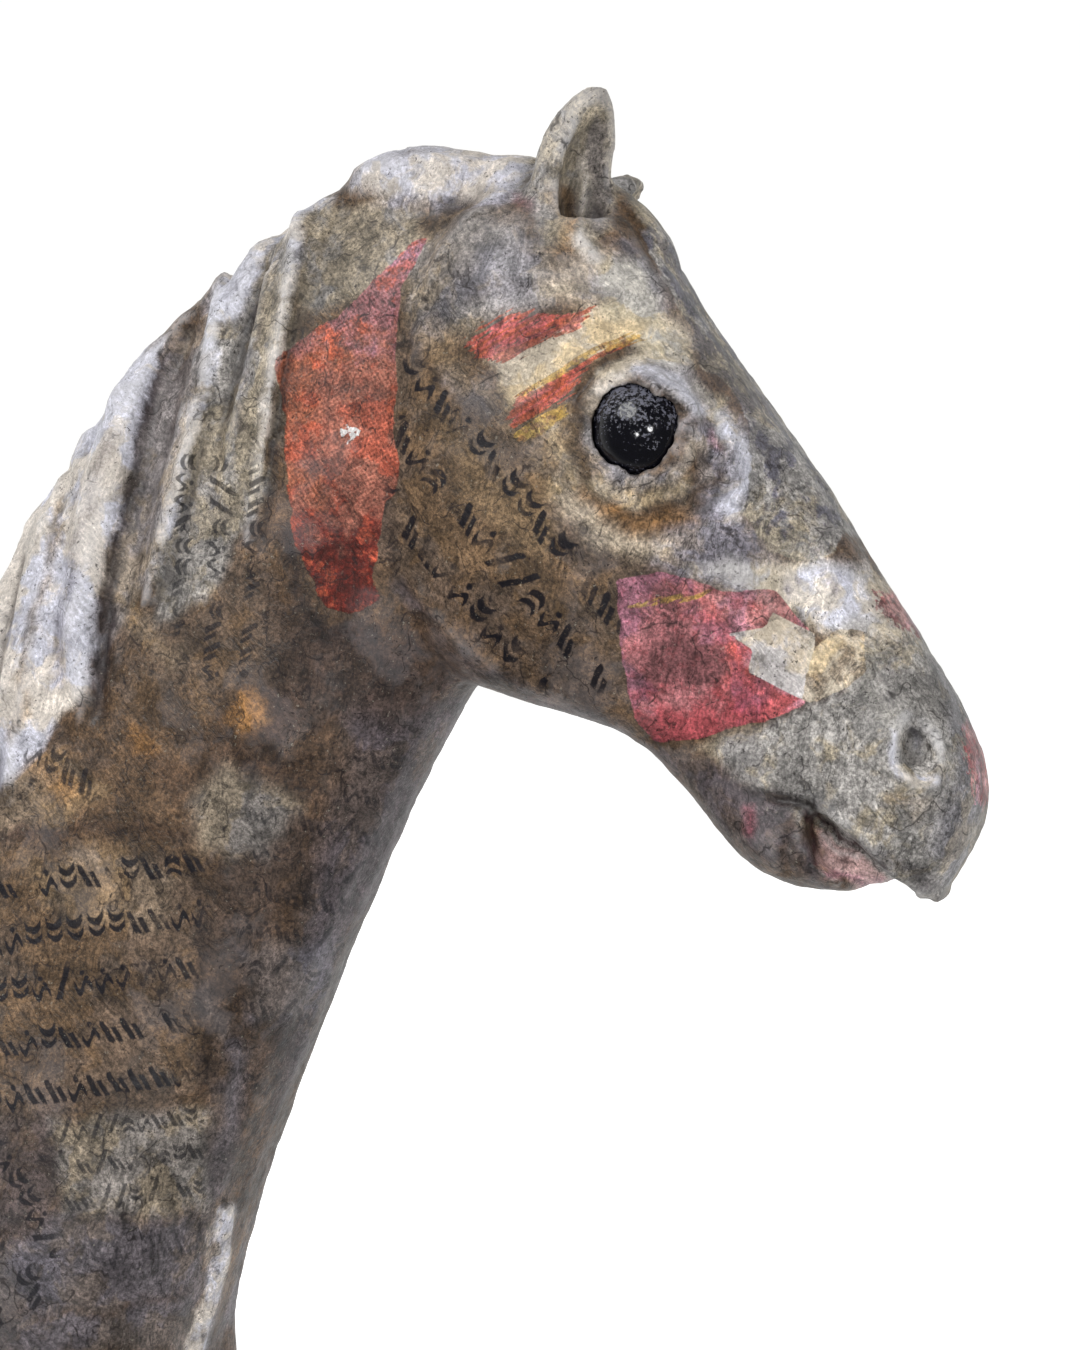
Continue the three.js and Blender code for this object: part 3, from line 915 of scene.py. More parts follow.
ORANGE_LINE: Line = (
    (430, 238), (420, 255), (402, 285), (396, 330), (398, 380), (392, 410), (397, 465), (397, 490),
    (385, 510), (378, 550), (372, 580), (380, 600), (345, 615), (325, 605), (308, 570), (295, 540),
    (290, 500), (285, 450), (288, 420), (275, 370), (278, 355), (300, 340), (325, 325), (350, 305),
    (375, 280), (400, 255), (415, 240),
)
RED_LINE: Line = (
    (618, 580), (660, 570), (720, 590), (775, 590), (808, 630), (808, 704), (760, 722), (700, 738),
    (655, 742), (635, 720), (622, 660), (618, 600),
)
NOTCH_LINE: Line = (
    (772, 612), (815, 634), (812, 700), (800, 699), (748, 672), (753, 650), (728, 634), (766, 627),
)
FRONT_LINE: Line = (
    (637, 232), (656, 262), (677, 300), (693, 340), (703, 370), (727, 380), (747, 423), (753, 473),
    (747, 503), (740, 510), (773, 553), (813, 560), (833, 553), (842, 530), (900, 560), (860, 440),
    (760, 300), (690, 200),
)
UPPER_STRIPE: Line = (
    (464, 343), (484, 325), (512, 314), (553, 313), (592, 311), (580, 329), (553, 334), (530, 347),
    (516, 361), (484, 361),
)
LOWER_STRIPE: Line = (
    (507, 424), (516, 397), (571, 368), (607, 344), (640, 338), (600, 356), (584, 368), (566, 400),
    (536, 412), (512, 428),
)
YELLOW_LINE: Line = (
    (514, 397), (540, 378), (562, 366), (598, 345), (634, 333), (654, 338), (634, 342), (600, 352),
    (564, 374), (530, 394),
)


@dataclass(frozen=True)
class Scraps:
    """The scraps of coloured paper and the edges of paint that end sharply."""

    pasted: tuple[Scrap, ...] = (
        Scrap("orange", (
            Mark(ORANGE_LINE, side=NEAR),
            Mark(((60, 900), (100, 850), (150, 880), (170, 960), (120, 1010), (70, 960)), side=FAR),
        )),
        Scrap("red", (
            Mark(RED_LINE, side=NEAR),
            Mark((
                (480, 440), (560, 420), (590, 500), (620, 560), (560, 600), (500, 560), (450, 500),
            ), side=FAR),
        )),
        Scrap("notch", (Mark(NOTCH_LINE, side=NEAR),)),
        Scrap("tan", (
            Mark((
                (806, 704), (802, 700), (812, 650), (838, 628), (864, 632), (866, 670), (842, 692),
            ), side=NEAR),
            Mark(((700, 640), (760, 620), (800, 680), (740, 720), (690, 700)), side=FAR),
        )),
        Scrap("front", (Mark(FRONT_LINE),)),
        Scrap("stripe", (
            Mark(UPPER_STRIPE, side=NEAR),
            Mark(LOWER_STRIPE, side=NEAR),
            Mark(((470, 380), (520, 356), (580, 348), (530, 372), (480, 398)), side=FAR),
        )),
        Scrap("yellow", (
            Mark(YELLOW_LINE, side=NEAR),
            Mark(((513, 434), (539, 415), (566, 402), (568, 414), (539, 436), (521, 444)), side=NEAR),
            Mark((
                (628, 606), (660, 597), (690, 594), (716, 591), (716, 595), (664, 603), (632, 611),
            ), side=NEAR),
        )),
        Scrap("pink", (
            Mark(((874, 594), (896, 592), (916, 612), (924, 636), (900, 626), (880, 612))),
            Mark(((962, 726), (978, 706), (996, 760), (998, 830), (976, 800), (968, 760))),
        )),
    )


@dataclass(frozen=True)
class Newsprint:
    """The printed scraps of newspaper."""

    blocks: tuple[PrintBlock, ...] = (
        PrintBlock((468, 437), 51, 52, 26, 1.0, area(
            16, (392, 330), (430, 360), (520, 460), (600, 552), (624, 600), (622, 690), (560, 700),
            (470, 650), (404, 580), (384, 500), (398, 420), side=NEAR)),
        PrintBlock((252, 560), 93, 36, 21, 0.8, area(
            22, (166, 440), (274, 470), (262, 660), (210, 690), (170, 640), side=NEAR)),
        PrintBlock((100, 876), -8, 52, 21, 1.0, area(
            18, (-160, 856), (120, 846), (206, 852), (196, 1100), (-160, 1140), side=NEAR)),
        PrintBlock((120, 1126), -7, 36, 16, 0.75, area(
            16, (50, 1112), (210, 1096), (206, 1212), (60, 1220), side=NEAR)),
        PrintBlock((20, 1190), 58, 44, 22, 0.9, area(
            16, (-200, 1150), (44, 1130), (66, 1290), (20, 1330), (-200, 1340), side=NEAR)),
        PrintBlock((300, 900), 12, 38, 19, 0.6, area(
            30, (236, 820), (380, 740), (410, 740), (340, 1080), (240, 1120), side=NEAR)),
        PrintBlock((140, 1250), -9, 60, 17, 0.5, area(
            16, (80, 1226), (210, 1216), (206, 1280), (80, 1290), side=NEAR)),
        PrintBlock((-300, 1100), 24, 46, 20, 0.8, area(
            24, (-420, 1060), (-170, 900), (-170, 1340), (-470, 1340), side=NEAR)),
        PrintBlock((60, 770), 30, 60, 20, 0.8, area(
            16, (20, 740), (90, 744), (100, 800), (30, 806), side=NEAR)),
        PrintBlock((500, 500), -36, 50, 25, 1.0, area(
            20, (420, 620), (440, 340), (520, 330), (640, 560), (600, 690), (500, 660), side=FAR)),
        PrintBlock((180, 700), 74, 44, 22, 0.8, area(
            24, (120, 560), (260, 520), (300, 700), (220, 900), (60, 900), side=FAR)),
        PrintBlock((0, 1100), 6, 50, 21, 1.0, area(
            24, (-260, 960), (180, 940), (230, 1100), (140, 1330), (-380, 1330), side=FAR)),
    )


class PaperPaint:
    """The paper's colour, laid on layer by layer, and the noises that its layers share."""

    def __init__(self, graph: Graph) -> None:
        """Start from the painted ground.

        Args:
            graph: The material's nodes.
        """
        self.graph = graph
        self.where = graph.millimetres()
        warp = graph.noise(self.where, 0.35, 2, out=1)
        self.bent = graph.moved(self.where, warp, 5.0)
        self.swayed = graph.moved(self.where, warp, 1.4)
        self.across, self.down, _ = graph.parts(graph.attribute("picture", 1))
        self.ragged = graph.noise(self.where, 0.55, 6, 0.62)
        self.frayed = graph.noise(self.where, 1.7, 5, 0.68)
        self.blot = graph.noise(self.where, 0.24, 3)
        self.cloud = graph.noise(self.where, 0.24, 6, 0.7)
        self.flake = graph.noise(self.swayed, 0.7, 5, 0.7)
        self.grain = graph.noise(self.where, 4.2, 2, 0.75)
        self.middle = graph.noise(self.where, 1.3, 4, 0.7)
        self.gate = graph.noise(self.where, 0.3, 2).ramp(0.44, 0.58)
        self.colour = graph.attribute("wash", 0)

    def lay(self, factor: Value, over: object) -> None:
        """Lay a colour over what is there.

        Args:
            factor: How strongly it covers.
            over: The colour.
        """
        self.colour = self.graph.mix(factor, self.colour, over)

    def scrap(self, name: str, ragged: Value, torn: float, soft: float = 0.06) -> Value:
        """Give the mask of one scrap, with its torn edge.

        Args:
            name: The scrap's attribute.
            ragged: Noise that tears the edge.
            torn: How far the edge wanders, in millimetres.
            soft: How soft the edge is, in millimetres.

        Returns:
            0 outside and 1 inside.
        """
        return (self.graph.attribute(name) + (ragged - 0.5) * torn).ramp(-soft, soft)

    def combed(self, where: Value, spin: float, size: float) -> Value:
        """Give noise drawn out into strokes that run one way.

        Args:
            where: Millimetres on the object.
            spin: The strokes' direction in the side picture, in radians above the x axis.
            size: How coarse the strokes are.

        Returns:
            The noise, 0 to 1.
        """
        drawn = tuple(part * size for part in (2.4, 0.9, 0.28))
        sockets = {0: where, 2: (0.0, -spin, 0.0), 3: drawn}
        mapping = self.graph.node("ShaderNodeMapping", {"vector_type": "TEXTURE"}, sockets)
        return self.graph.noise(mapping, 1.0, 3, 0.6)

    def front(self) -> Value:
        """Lay the dark paint down the front of the face, and return its mask."""
        front = self.scrap("front", self.ragged, 1.8, 0.12)
        lower = (self.down + (self.blot - 0.5) * 10).ramp(25, 34)
        slate = self.graph.mix((self.ragged + lower * 0.06).ramp(0.47, 0.55), Pigment.SLATE, Pigment.STONE)
        slate = self.graph.mix(self.frayed.ramp(0.54, 0.62) * 0.6, slate, Pigment.LEAD)
        self.lay(front * 0.92, slate)
        return front

    def red(self) -> Value:
        """Lay the red paper on the cheek, lavender at one end and coral at the other, and return its mask."""
        mix, ragged, blot = self.graph.mix, self.ragged, self.blot
        red = self.scrap("red", ragged, 0.8)
        slanting = self.across - self.down * 0.7 + (ragged - 0.5) * 9
        rose = mix(slanting.ramp(17, 20), Pigment.MADDER, Pigment.CORAL)
        bloom = (self.across + (blot - 0.5) * 16 + (ragged - 0.5) * 6).ramp(54, 49)
        bloom = bloom * (self.down + (ragged - 0.5) * 9).ramp(51, 48)
        rose = mix(bloom * 0.75, rose, Pigment.ROSE)
        rubbed = slanting.ramp(20, 22) * ragged.ramp(0.42, 0.5, 0.4, 1)
        rose = mix(rubbed * 0.75, rose, Pigment.BLUSH)
        rose = mix(self.frayed.ramp(0.54, 0.6) * 0.4, rose, Pigment.MADDER)
        self.lay(red * 0.96, rose)
        return red

    def plain(self) -> Value:
        """Lay the plain notch in the red paper and the tan scrap next to it, and return the scrap's mask."""
        notch = self.scrap("notch", self.ragged, 0.12, 0.05)
        cream = self.graph.mix(self.ragged.ramp(0.5, 0.6) * 0.6, Pigment.CREAM, Pigment.STONE)
        self.lay(notch * 0.95, cream)
        tan = self.scrap("tan", self.ragged, 0.9)
        sandy = self.graph.mix(self.ragged.ramp(0.44, 0.58) * 0.8, Pigment.SAND, Pigment.CLAY)
        self.lay(tan * 0.9, sandy)
        return tan

    def orange(self) -> Value:
        """Lay the orange paper with its printed dots, scorched towards its foot, and return its mask."""
        mix, down, across = self.graph.mix, self.down, self.across
        ragged = self.ragged - 0.5
        blot = self.blot - 0.5
        orange = self.scrap("orange", self.ragged, 1.2)
        low = (down + ragged * 16 + blot * 10).ramp(34, 38)
        fire = mix((down + ragged * 10).ramp(25.5, 22), Pigment.ORANGE, Pigment.ROSE)
        fire = mix(low, fire, Pigment.RUST)
        fire = mix((self.ragged + blot * 0.4).ramp(0.53, 0.6) * 0.65, fire, Pigment.FLAME)
        fire = mix(self.frayed.ramp(0.54, 0.62) * 0.45, fire, Pigment.RUST)
        dots = (across * 15.7 + down * 4.0).math("SINE") * (down * 15.7 - across * 4.0).math("SINE")
        fire = mix(dots.ramp(-0.2, 0.5) * (1 - low) * 0.4, fire, Pigment.RUST)
        self.lay(orange * 0.97, fire)
        chip_x, chip_y = (across - 24.5) * 0.9, down - 30.4
        chip = (chip_x * chip_x + chip_y * chip_y).math("SQRT") + (self.frayed - 0.5) * 3.0
        self.lay(chip.ramp(0.42, 0.3), Pigment.CREAM)
        return orange

    def bright(self) -> None:
        """Lay the stripes over the brow and small bright bits, brushed thin along their length."""
        mix = self.graph.mix
        swept = self.combed(self.where, 0.5, 1.0)
        stripe = self.scrap("stripe", swept, 2.4) * swept.ramp(0.36, 0.43)
        self.lay(stripe * 0.78, mix(swept.ramp(0.47, 0.56), Pigment.CORAL, Pigment.FLAME))
        yellow = self.scrap("yellow", swept, 1.0)
        self.lay(yellow * 0.8, mix(self.frayed.ramp(0.48, 0.6), Pigment.YELLOW, Pigment.AMBER))
        pink = self.scrap("pink", self.frayed, 2.6)
        self.lay(pink * 0.85, mix(self.ragged.ramp(0.46, 0.54), Pigment.BLUSH, Pigment.MADDER))

    def patches(self) -> Value:
        """Show thin papers over one another as irregular patches with crisp edges, some warm, some cool.

        Returns:
            How thick and pale the paint is, which hides more of what lies under it.
        """
        other = self.graph.noise(self.bent, 0.13, 5, 0.62)
        light = self.cloud.ramp(0.44, 0.48, 0.64, 1.0) * self.cloud.ramp(0.54, 0.58, 1.0, 1.36)
        light = light * self.flake.ramp(0.43, 0.46, 0.72, 1.0) * self.flake.ramp(0.55, 0.59, 1.0, 1.22)
        light = light * self.grain.ramp(0.34, 0.66, 0.58, 1.42) * self.middle.ramp(0.36, 0.64, 0.82, 1.18)
        thick = self.graph.node("ShaderNodeRGBToBW", None, {0: self.colour}).ramp(0.2, 0.5)
        light = light + (1 - light) * thick * 0.5
        tint = self.graph.mix(other.ramp(0.46, 0.54), (1.08, 1.0, 0.88), (0.95, 0.97, 1.08))
        lit = self.graph.vector("SCALE", self.colour, scale=light)
        self.colour = self.graph.vector("MULTIPLY", lit, tint)
        return thick

    def brushed(self, thick: Value) -> Value:
        """Brush and scratch the paint in two directions that give way to each other.

        Args:
            thick: How thick the paint is.

        Returns:
            The brush strokes, 0 to 1.
        """
        turn = self.graph.noise(self.where, 0.16, 1).ramp(0.46, 0.54)
        first, second = (self.combed(self.swayed, spin, 0.8) for spin in (1.35, -0.85))
        brushed = first + (second - first) * turn
        pale = brushed.ramp(0.55, 0.61) * self.gate.ramp(0, 1, 0.4, 0.8)
        self.lay(pale * 0.5, self.graph.vector("SCALE", self.colour, scale=1.9))
        scratched = brushed.ramp(0.44, 0.38) * (1 - thick * 0.5)
        self.lay(scratched * 0.6, self.graph.vector("SCALE", self.colour, scale=0.4))
        return brushed

    def worn(self, thick: Value) -> None:
        """Lay a milky veil, painted shade in the hollows, wear and a painted highlight on the ridges, and
        thin dark broken cracks.

        Args:
            thick: How thick the paint is.
        """
        graph = self.graph
        self.lay(graph.noise(self.bent, 0.1, 4, 0.6).ramp(0.54, 0.64) * 0.14, Pigment.LILAC)
        # Painted shade: dark paint in the hollows and a dark line where the lids meet the eyeballs
        painted_hollow_shade = graph.attribute("painted_hollow_shade") * (self.grain * 1.5)
        self.lay(painted_hollow_shade.least(0.58), Pigment.SOOT)
        # Pale paint on the ridges: partly wear, partly a painted highlight
        self.lay(graph.attribute("ridge_wear_and_highlight") * self.cloud.ramp(0.4, 0.5) * 0.4, Pigment.CHALK)
        sockets = {"Vector": self.bent, "Scale": 0.13}
        seam = graph.node("ShaderNodeTexVoronoi", {"feature": "DISTANCE_TO_EDGE"}, sockets).ramp(0.014, 0.003)
        crack = (self.combed(self.swayed, 1.05, 3.0) - 0.5).size().ramp(0.012, 0.003)
        line = seam.most(crack * self.gate) * self.flake.ramp(0.54, 0.48) * (1 - thick * 0.55)
        self.lay(line * 0.7, Pigment.SOOT)

    def speckled(self) -> None:
        """Scatter dark and pale specks."""
        specks = self.graph.noise(self.where, 3.6, 2, 0.7)
        spread = self.graph.noise(self.where, 0.5, 2).ramp(0.4, 0.62, 0.2, 1)
        self.lay(specks.ramp(0.62, 0.66) * spread * 0.8, Pigment.SOOT)
        self.lay(specks.ramp(0.34, 0.3) * spread * 0.3, Pigment.BONE)

    def print_strokes(self) -> Value:
        """Draw the print: in each cell of a row a pair of dashes or curves, a wave, or a long dash.

        Returns:
            How much ink lies at each point.
        """
        graph = self.graph
        rows = graph.attribute("rows", 1)
        along, across, _ = graph.parts(graph.moved(rows, graph.noise(self.where, 0.8, 3, out=1), 0.16))
        strength = graph.parts(rows)[2]
        cell, row = along.math("FLOOR"), across.math("FLOOR")
        seed = graph.joined(cell, row, 3.0)
        chance = graph.node("ShaderNodeTexWhiteNoise", {"noise_dimensions": "3D"}, {0: seed})
        first, second, _ = graph.parts(Value(graph, chance.socket.node.outputs[1]))
        x = along - cell - 0.5
        y = (across - row - 0.5) * 2.05
        lean = first.over(0.5) - 0.5
        slid = x + y * lean
        # Two dashes that lean together
        dashes = ((slid + 0.2).size() - 0.15).most((y + 0.06).size() - 0.44)
        dashes = dashes.least(((slid - 0.2).size() - 0.12).most((y - 0.1).size() - 0.32))
        # Two shallow curves, one over the other
        bowed = y + x * x * lean * 3.4
        curves = ((bowed + 0.3).size() - 0.15).least((bowed - 0.16).size() - 0.12).most(x.size() - 0.38)
        # A wavy dash with a dot, and a long leaning dash
        wave = ((y + (x * 8.5).math("SINE") * 0.24 - 0.12).size() - 0.15).most(x.size() - 0.42)
        wave = wave.least((x * x + (y + 0.42) * (y + 0.42)).math("SQRT") - 0.12)
        long_dash = (slid.size() - 0.14).most((y + second * 0.4).size() - 0.7)
        choices = ((dashes, 0.0, 0.44), (curves, 0.44, 0.68), (wave, 0.68, 0.88), (long_dash, 0.88, 1.1))
        shapes = [shape + chance.over(top) * 9 + (1 - chance.over(low)) * 9 for shape, low, top in choices]
        drawn = shapes[0].least(shapes[1]).least(shapes[2]).least(shapes[3]).ramp(0.05, -0.04)
        printed = chance.over(0.12) * (y.size() - 1.0).ramp(0.02, 0)
        worn = graph.noise(self.where, 2.6, 5, 0.7).ramp(0.7, 0.58)
        patchy = graph.noise(self.where, 0.22, 2).ramp(0.66, 0.52, 0.45, 1.0)
        return drawn * printed * worn * patchy * strength


@dataclass(frozen=True)
class PastedPaper:
    """Pasted newspaper and coloured scraps under thin paint and a satin glaze."""

    roughness: float = 0.47
    glaze: float = 0.08
    glaze_roughness: float = 0.3
    relief: float = 0.14 * MM  # how deep the bump of grain, brush strokes and torn edges is

    def build(self) -> bpy.types.Material:
        """Make the material."""
        material = bpy.data.materials.new("pasted_paper_glazed")
        graph = Graph(material)
        paint = PaperPaint(graph)
        front = paint.front()
        red = paint.red()
        tan = paint.plain()
        edges = red + paint.orange() + front * 0.4 + tan * 0.5
        paint.bright()
        thick = paint.patches()
        brushed = paint.brushed(thick)
        paint.worn(thick)
        paint.lay(paint.print_strokes() * 0.95, Pigment.INK)
        paint.speckled()
        height = paint.flake.ramp(0.42, 0.6) * 0.25 + paint.grain * 0.3 + brushed * 0.55 + edges * 0.14
        bump = graph.node("ShaderNodeBump", None, {
            "Strength": 0.7, "Distance": self.relief, "Height": height,
        })
        graph.surface({
            "Base Color": paint.colour,
            "Roughness": paint.middle.ramp(0.3, 0.7, self.roughness - 0.1, self.roughness + 0.14),
            "Specular IOR Level": 0.3,
            "Coat Weight": self.glaze,
            "Coat Roughness": self.glaze_roughness,
            "Normal": bump,
        })
        return material


@dataclass(frozen=True)
class EyeGloss:
    """Black paint on the eyes, clear and glossy in front and scuffed grey above."""

    middle: float  # the height of the eyes' middle in millimetres
    roughness: float = 0.1
    scuffed_roughness: float = 0.42
    scuff_depth: float = 0.03 * MM

    def build(self) -> bpy.types.Material:
        """Make the material."""
        material = bpy.data.materials.new("glossy_black_scuffed")
        graph = Graph(material)
        where = graph.millimetres()
        height = graph.parts(where)[2] - self.middle
        grain = graph.noise(where, 4.0, 4, 0.7)
        broad = graph.noise(where, 0.7, 3)
        scuff = (grain + height * 0.045 + (broad - 0.5) * 0.4).ramp(0.54, 0.66)
        rim = (grain - (height + 2.9) * 0.12).ramp(0.52, 0.62) * 0.6
        worn = scuff.most(rim)
        colour = graph.mix(worn, (0.002, 0.002, 0.004), (0.11, 0.112, 0.145))
        gloss = worn.ramp(0, 1, self.roughness, self.scuffed_roughness)
        sockets = {"Strength": 0.5, "Distance": self.scuff_depth, "Height": worn}
        bump = graph.node("ShaderNodeBump", None, sockets)
        graph.surface({
            "Base Color": colour, "Roughness": gloss, "Specular IOR Level": 0.5, "Normal": bump,
        })
        return material


def placed(shape: bmesh.types.BMesh, name: str) -> bpy.types.Object:
    """Put a shape into the scene and free it.

    Args:
        shape: The shape.
        name: Its name in the scene.

    Returns:
        The new object.
    """
    mesh = bpy.data.meshes.new(name)
    shape.to_mesh(mesh)
    shape.free()
    piece = bpy.data.objects.new(name, mesh)
    bpy.context.scene.collection.objects.link(piece)
    return piece


def round_off(piece: bpy.types.Object, material: bpy.types.Material) -> None:
    """Shade a piece smoothly in one material.

    Args:
        piece: The piece.
        material: The material.
    """
    for face in piece.data.polygons:
        face.use_smooth = True
    piece.data.materials.clear()
    piece.data.materials.append(material)


def copy_of(node: bpy.types.Object, name: str) -> bpy.types.Object:
    """Copy a CAD node with its loose triangles merged.

    Args:
        node: The CAD node.
        name: The copy's name.

    Returns:
        The copy, in the scene.
    """
    shape = bmesh.new()
    shape.from_mesh(node.data)
    bmesh.ops.remove_doubles(shape, verts=shape.verts, dist=0.002 * MM)
    return placed(shape, name)


@dataclass(frozen=True)
class Strands:
    """How the mane is combed. Lengths are in picture units."""

    across: float = 24.0  # from strand to strand
    along: float = 190.0  # how long a strand keeps its shape
    lean: float = 0.26  # how far the strands lean to the left as they fall
    height: float = 0.26  # in millimetres
    apart: float = 7.3  # how unlike the two sides are
    mane: Mark = area(
        40, (350, 176), (318, 260), (300, 400), (262, 560), (200, 640), (110, 760), (0, 900), (-120, 1120),
        (-260, 1400), (-700, 1400), (-300, 800), (100, 300), (300, 140))

    def comb(self, skin: Skin) -> np.ndarray:
        """Comb the mane into strands.

        Args:
            skin: The body's surface.

        Returns:
            The strands' height in millimetres.
        """
        x, y = skin.places.T
        across = (x + self.lean * (y - 300)) / self.across
        side = np.sign(skin.points[:, 1]) * self.apart
        grid = zip(across, y / self.along, side)
        combed = np.array([noise.fractal(Vector(place), 1.0, 2.0, 2) for place in grid])
        return (0.12 - np.abs(combed)) * self.height * self.mane.cover(skin)


@dataclass
class PaperBody:
    """The pasted paper of the head, neck, ears and mane: one piece."""

    node: bpy.types.Object
    eyes: tuple[Vector, ...]
    eye_radius: float
    voxel: float = 0.52 * MM
    evenings: int = 3  # how often the remeshed surface is smoothed
    eye_reach: float = 6.2 * MM  # how far round the eyes the mesh is finer
    muzzle: Triple = (76.0, 0.0, 48.0)  # the other place where it is finer, in millimetres
    muzzle_reach: float = 8.5 * MM
    foot: float = 0.3 * MM  # how high the underside's edge reaches, which stays sharp
    lid_gap: float = 0.1 * MM  # between the lids and the ball
    socket_gap: float = 0.3 * MM  # between the socket's wall and the ball in the solid
    socket_ease: float = 0.4 * MM  # how soon the drawn wall meets the solid's own surface
    upper_lid: float = 0.42  # how far the lids are drawn over the ball, in radians
    lower_lid: float = 0.3
    corner_lid: float = 0.2
    uneven_lid: float = 0.08
    lid_width: float = 1.6  # how much of the paper round a ball moves with its lids, in millimetres
    rim: Place = (0.6, 1.8)  # how far from a ball the paper lies that says where its socket faces
    finish: PastedPaper = PastedPaper()

    def remeshed(self) -> bpy.types.Object:
        """Copy the CAD node and give it an even fine mesh, finer round the eyes and on the muzzle."""
        piece = copy_of(self.node, "paper_skin")
        remesh = piece.modifiers.new("even", "REMESH")
        remesh.mode = "VOXEL"
        remesh.voxel_size = self.voxel
        fine = bpy.data.meshes.new_from_object(piece.evaluated_get(bpy.context.evaluated_depsgraph_get()))
        piece.modifiers.clear()
        piece.data = fine
        shape = bmesh.new()
        shape.from_mesh(fine)
        for _ in range(self.evenings):
            above = [vert for vert in shape.verts if vert.co.z > self.foot]
            bmesh.ops.smooth_vert(
                shape, verts=above, factor=0.5, use_axis_x=True, use_axis_y=True, use_axis_z=True)
        for centre, reach in self.details():
            near = {vert for vert in shape.verts if (vert.co - centre).length < reach}
            edges = [edge for edge in shape.edges if near.issuperset(edge.verts)]
            bmesh.ops.subdivide_edges(shape, edges=edges, cuts=1, use_grid_fill=True, smooth=0.6)
        shape.to_mesh(fine)
        shape.free()
        return piece

    def details(self) -> list[tuple[Vector, float]]:
        """Say where the mesh is finer: a centre and a reach for each place."""
        places = [(centre, self.eye_reach) for centre in self.eyes]
        return places + [(Vector(self.muzzle) * MM, self.muzzle_reach)]

    def clearance(self, skin: Skin) -> np.ndarray:
        """Measure how far each point is from the nearer ball, in millimetres."""
        away = [np.linalg.norm(skin.points - np.array(centre), axis=1) for centre in self.eyes]
        return (np.min(away, axis=0) - self.eye_radius) / MM

    def close_lids(self, skin: Skin) -> None:
        """Draw the sockets' walls in to the balls.

        Args:
            skin: The body's surface.
        """
        for centre in self.eyes:
            offset = skin.points - np.array(centre)
            away = np.linalg.norm(offset, axis=1)
            socket = self.eye_radius + self.socket_gap
            share = smooth((away - socket) / self.socket_ease)
            wanted = (self.eye_radius + self.lid_gap) * (1 - share) + away * share
            moved = np.where(away < socket + self.socket_ease, wanted, away)
            skin.points = np.array(centre) + offset * (moved / away)[:, None]

    def fold_lids(self, skin: Skin) -> None:
        """Draw the lids' edges unevenly over the balls, most from above and below.

        Args:
            skin: The body's surface.
        """
        facing = skin.normals()
        rough = skin.grain(1.3 * MM, 2)
        for centre in self.eyes:
            offset = skin.points - np.array(centre)
            away = np.linalg.norm(offset, axis=1)
            ahead = offset / away[:, None]
            beyond = (away - self.eye_radius) / MM
            axis = facing[(beyond > self.rim[0]) & (beyond < self.rim[1])].mean(axis=0)
            axis /= np.linalg.norm(axis)
            turned = ahead @ axis
            inwards = axis - ahead * turned[:, None]
            inwards /= np.maximum(np.linalg.norm(inwards, axis=1), 1e-6)[:, None]
            rise = -inwards[:, 2]
            share = smooth(1 - beyond / self.lid_width) * smooth((turned + 0.1) / 0.4)
            corner = np.maximum(rise + inwards[:, 0], 0) ** 2 * self.corner_lid
            lids = np.where(rise > 0, self.upper_lid, self.lower_lid) * rise ** 2
            angle = (lids + corner + rough * self.uneven_lid) * share
            ahead = ahead * np.cos(angle)[:, None] + inwards * np.sin(angle)[:, None]
            skin.points = np.array(centre) + ahead * away[:, None]

    def model(self, skin: Skin, modelling: Modelling) -> None:
        """Work the surface over with the brushes, and keep it off the ground and inside the solid's box.

        Args:
            skin: The body's surface.
            modelling: The strokes.
        """
        low, high = (np.array(corner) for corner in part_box(self.node.name))
        self.close_lids(skin)
        height = sum(stroke.height * stroke.mark.cover(skin) for stroke in modelling.strokes)
        lumps = skin.grain(modelling.broad_lump, 2) * 0.6 + skin.grain(modelling.small_lump, 2) * 0.4
        grit = skin.grain(modelling.grit_size, 2)
        clear = self.clearance(skin)
        quiet = smooth((clear - 0.1) / 0.8)
        relief = height + lumps * modelling.lumps + grit * modelling.grit + Strands().comb(skin)
        standing = smooth(skin.points[:, 2] / (0.8 * MM) - 0.4)
        crust = skin.grain(modelling.crust_size, 3) * smooth(1 - clear / modelling.crust_reach)
        crust = crust * modelling.crust
        skin.push((relief * quiet + crust * smooth(quiet * 3)) * standing * MM)
        self.fold_lids(skin)
        skin.points = np.clip(skin.points, low, high)

    def paint(self, skin: Skin, painting: Painting) -> None:
        """Lay the washes and write everything that the material reads.

        Args:
            skin: The body's surface.
            painting: The washes.
        """
        colour = np.tile(np.array(painting.ground.paint()), (len(skin.points), 1))
        places = skin.places
        tall = ((1.0, 1.0, 1.0), (1.0, 1.0, 1.7))
        tears = np.stack([skin.grain(painting.tear_size, 4, stretch) for stretch in tall], axis=1)
        skin.places = places + tears * painting.tearing
        for wash in painting.washes:
            cover = (wash.mark.cover(skin) * wash.strength)[:, None]
            colour = colour * (1 - cover) + np.array(wash.pigment.paint()) * cover
        skin.places = places
        skin.record("wash", np.hstack([colour, np.ones((len(colour), 1))]), "FLOAT_COLOR")
        for scrap in Scraps().pasted:
            skin.record(scrap.name, scrap.depth(skin))
        best = np.zeros((len(skin.points), 3))
        for number, block in enumerate(Newsprint().blocks):
            rows = block.rows(skin, number)
            best = np.where(rows[:, 2:] > best[:, 2:], rows, best)
        skin.record("rows", best, "FLOAT_VECTOR")
        picture = np.hstack([places, np.zeros((len(places), 1))]) * PICTURE.unit / MM
        skin.record("picture", picture, "FLOAT_VECTOR")
        raised = (skin.raised(6) + skin.raised(20)) * 0.5
        raised /= MM
        clear = self.clearance(skin)
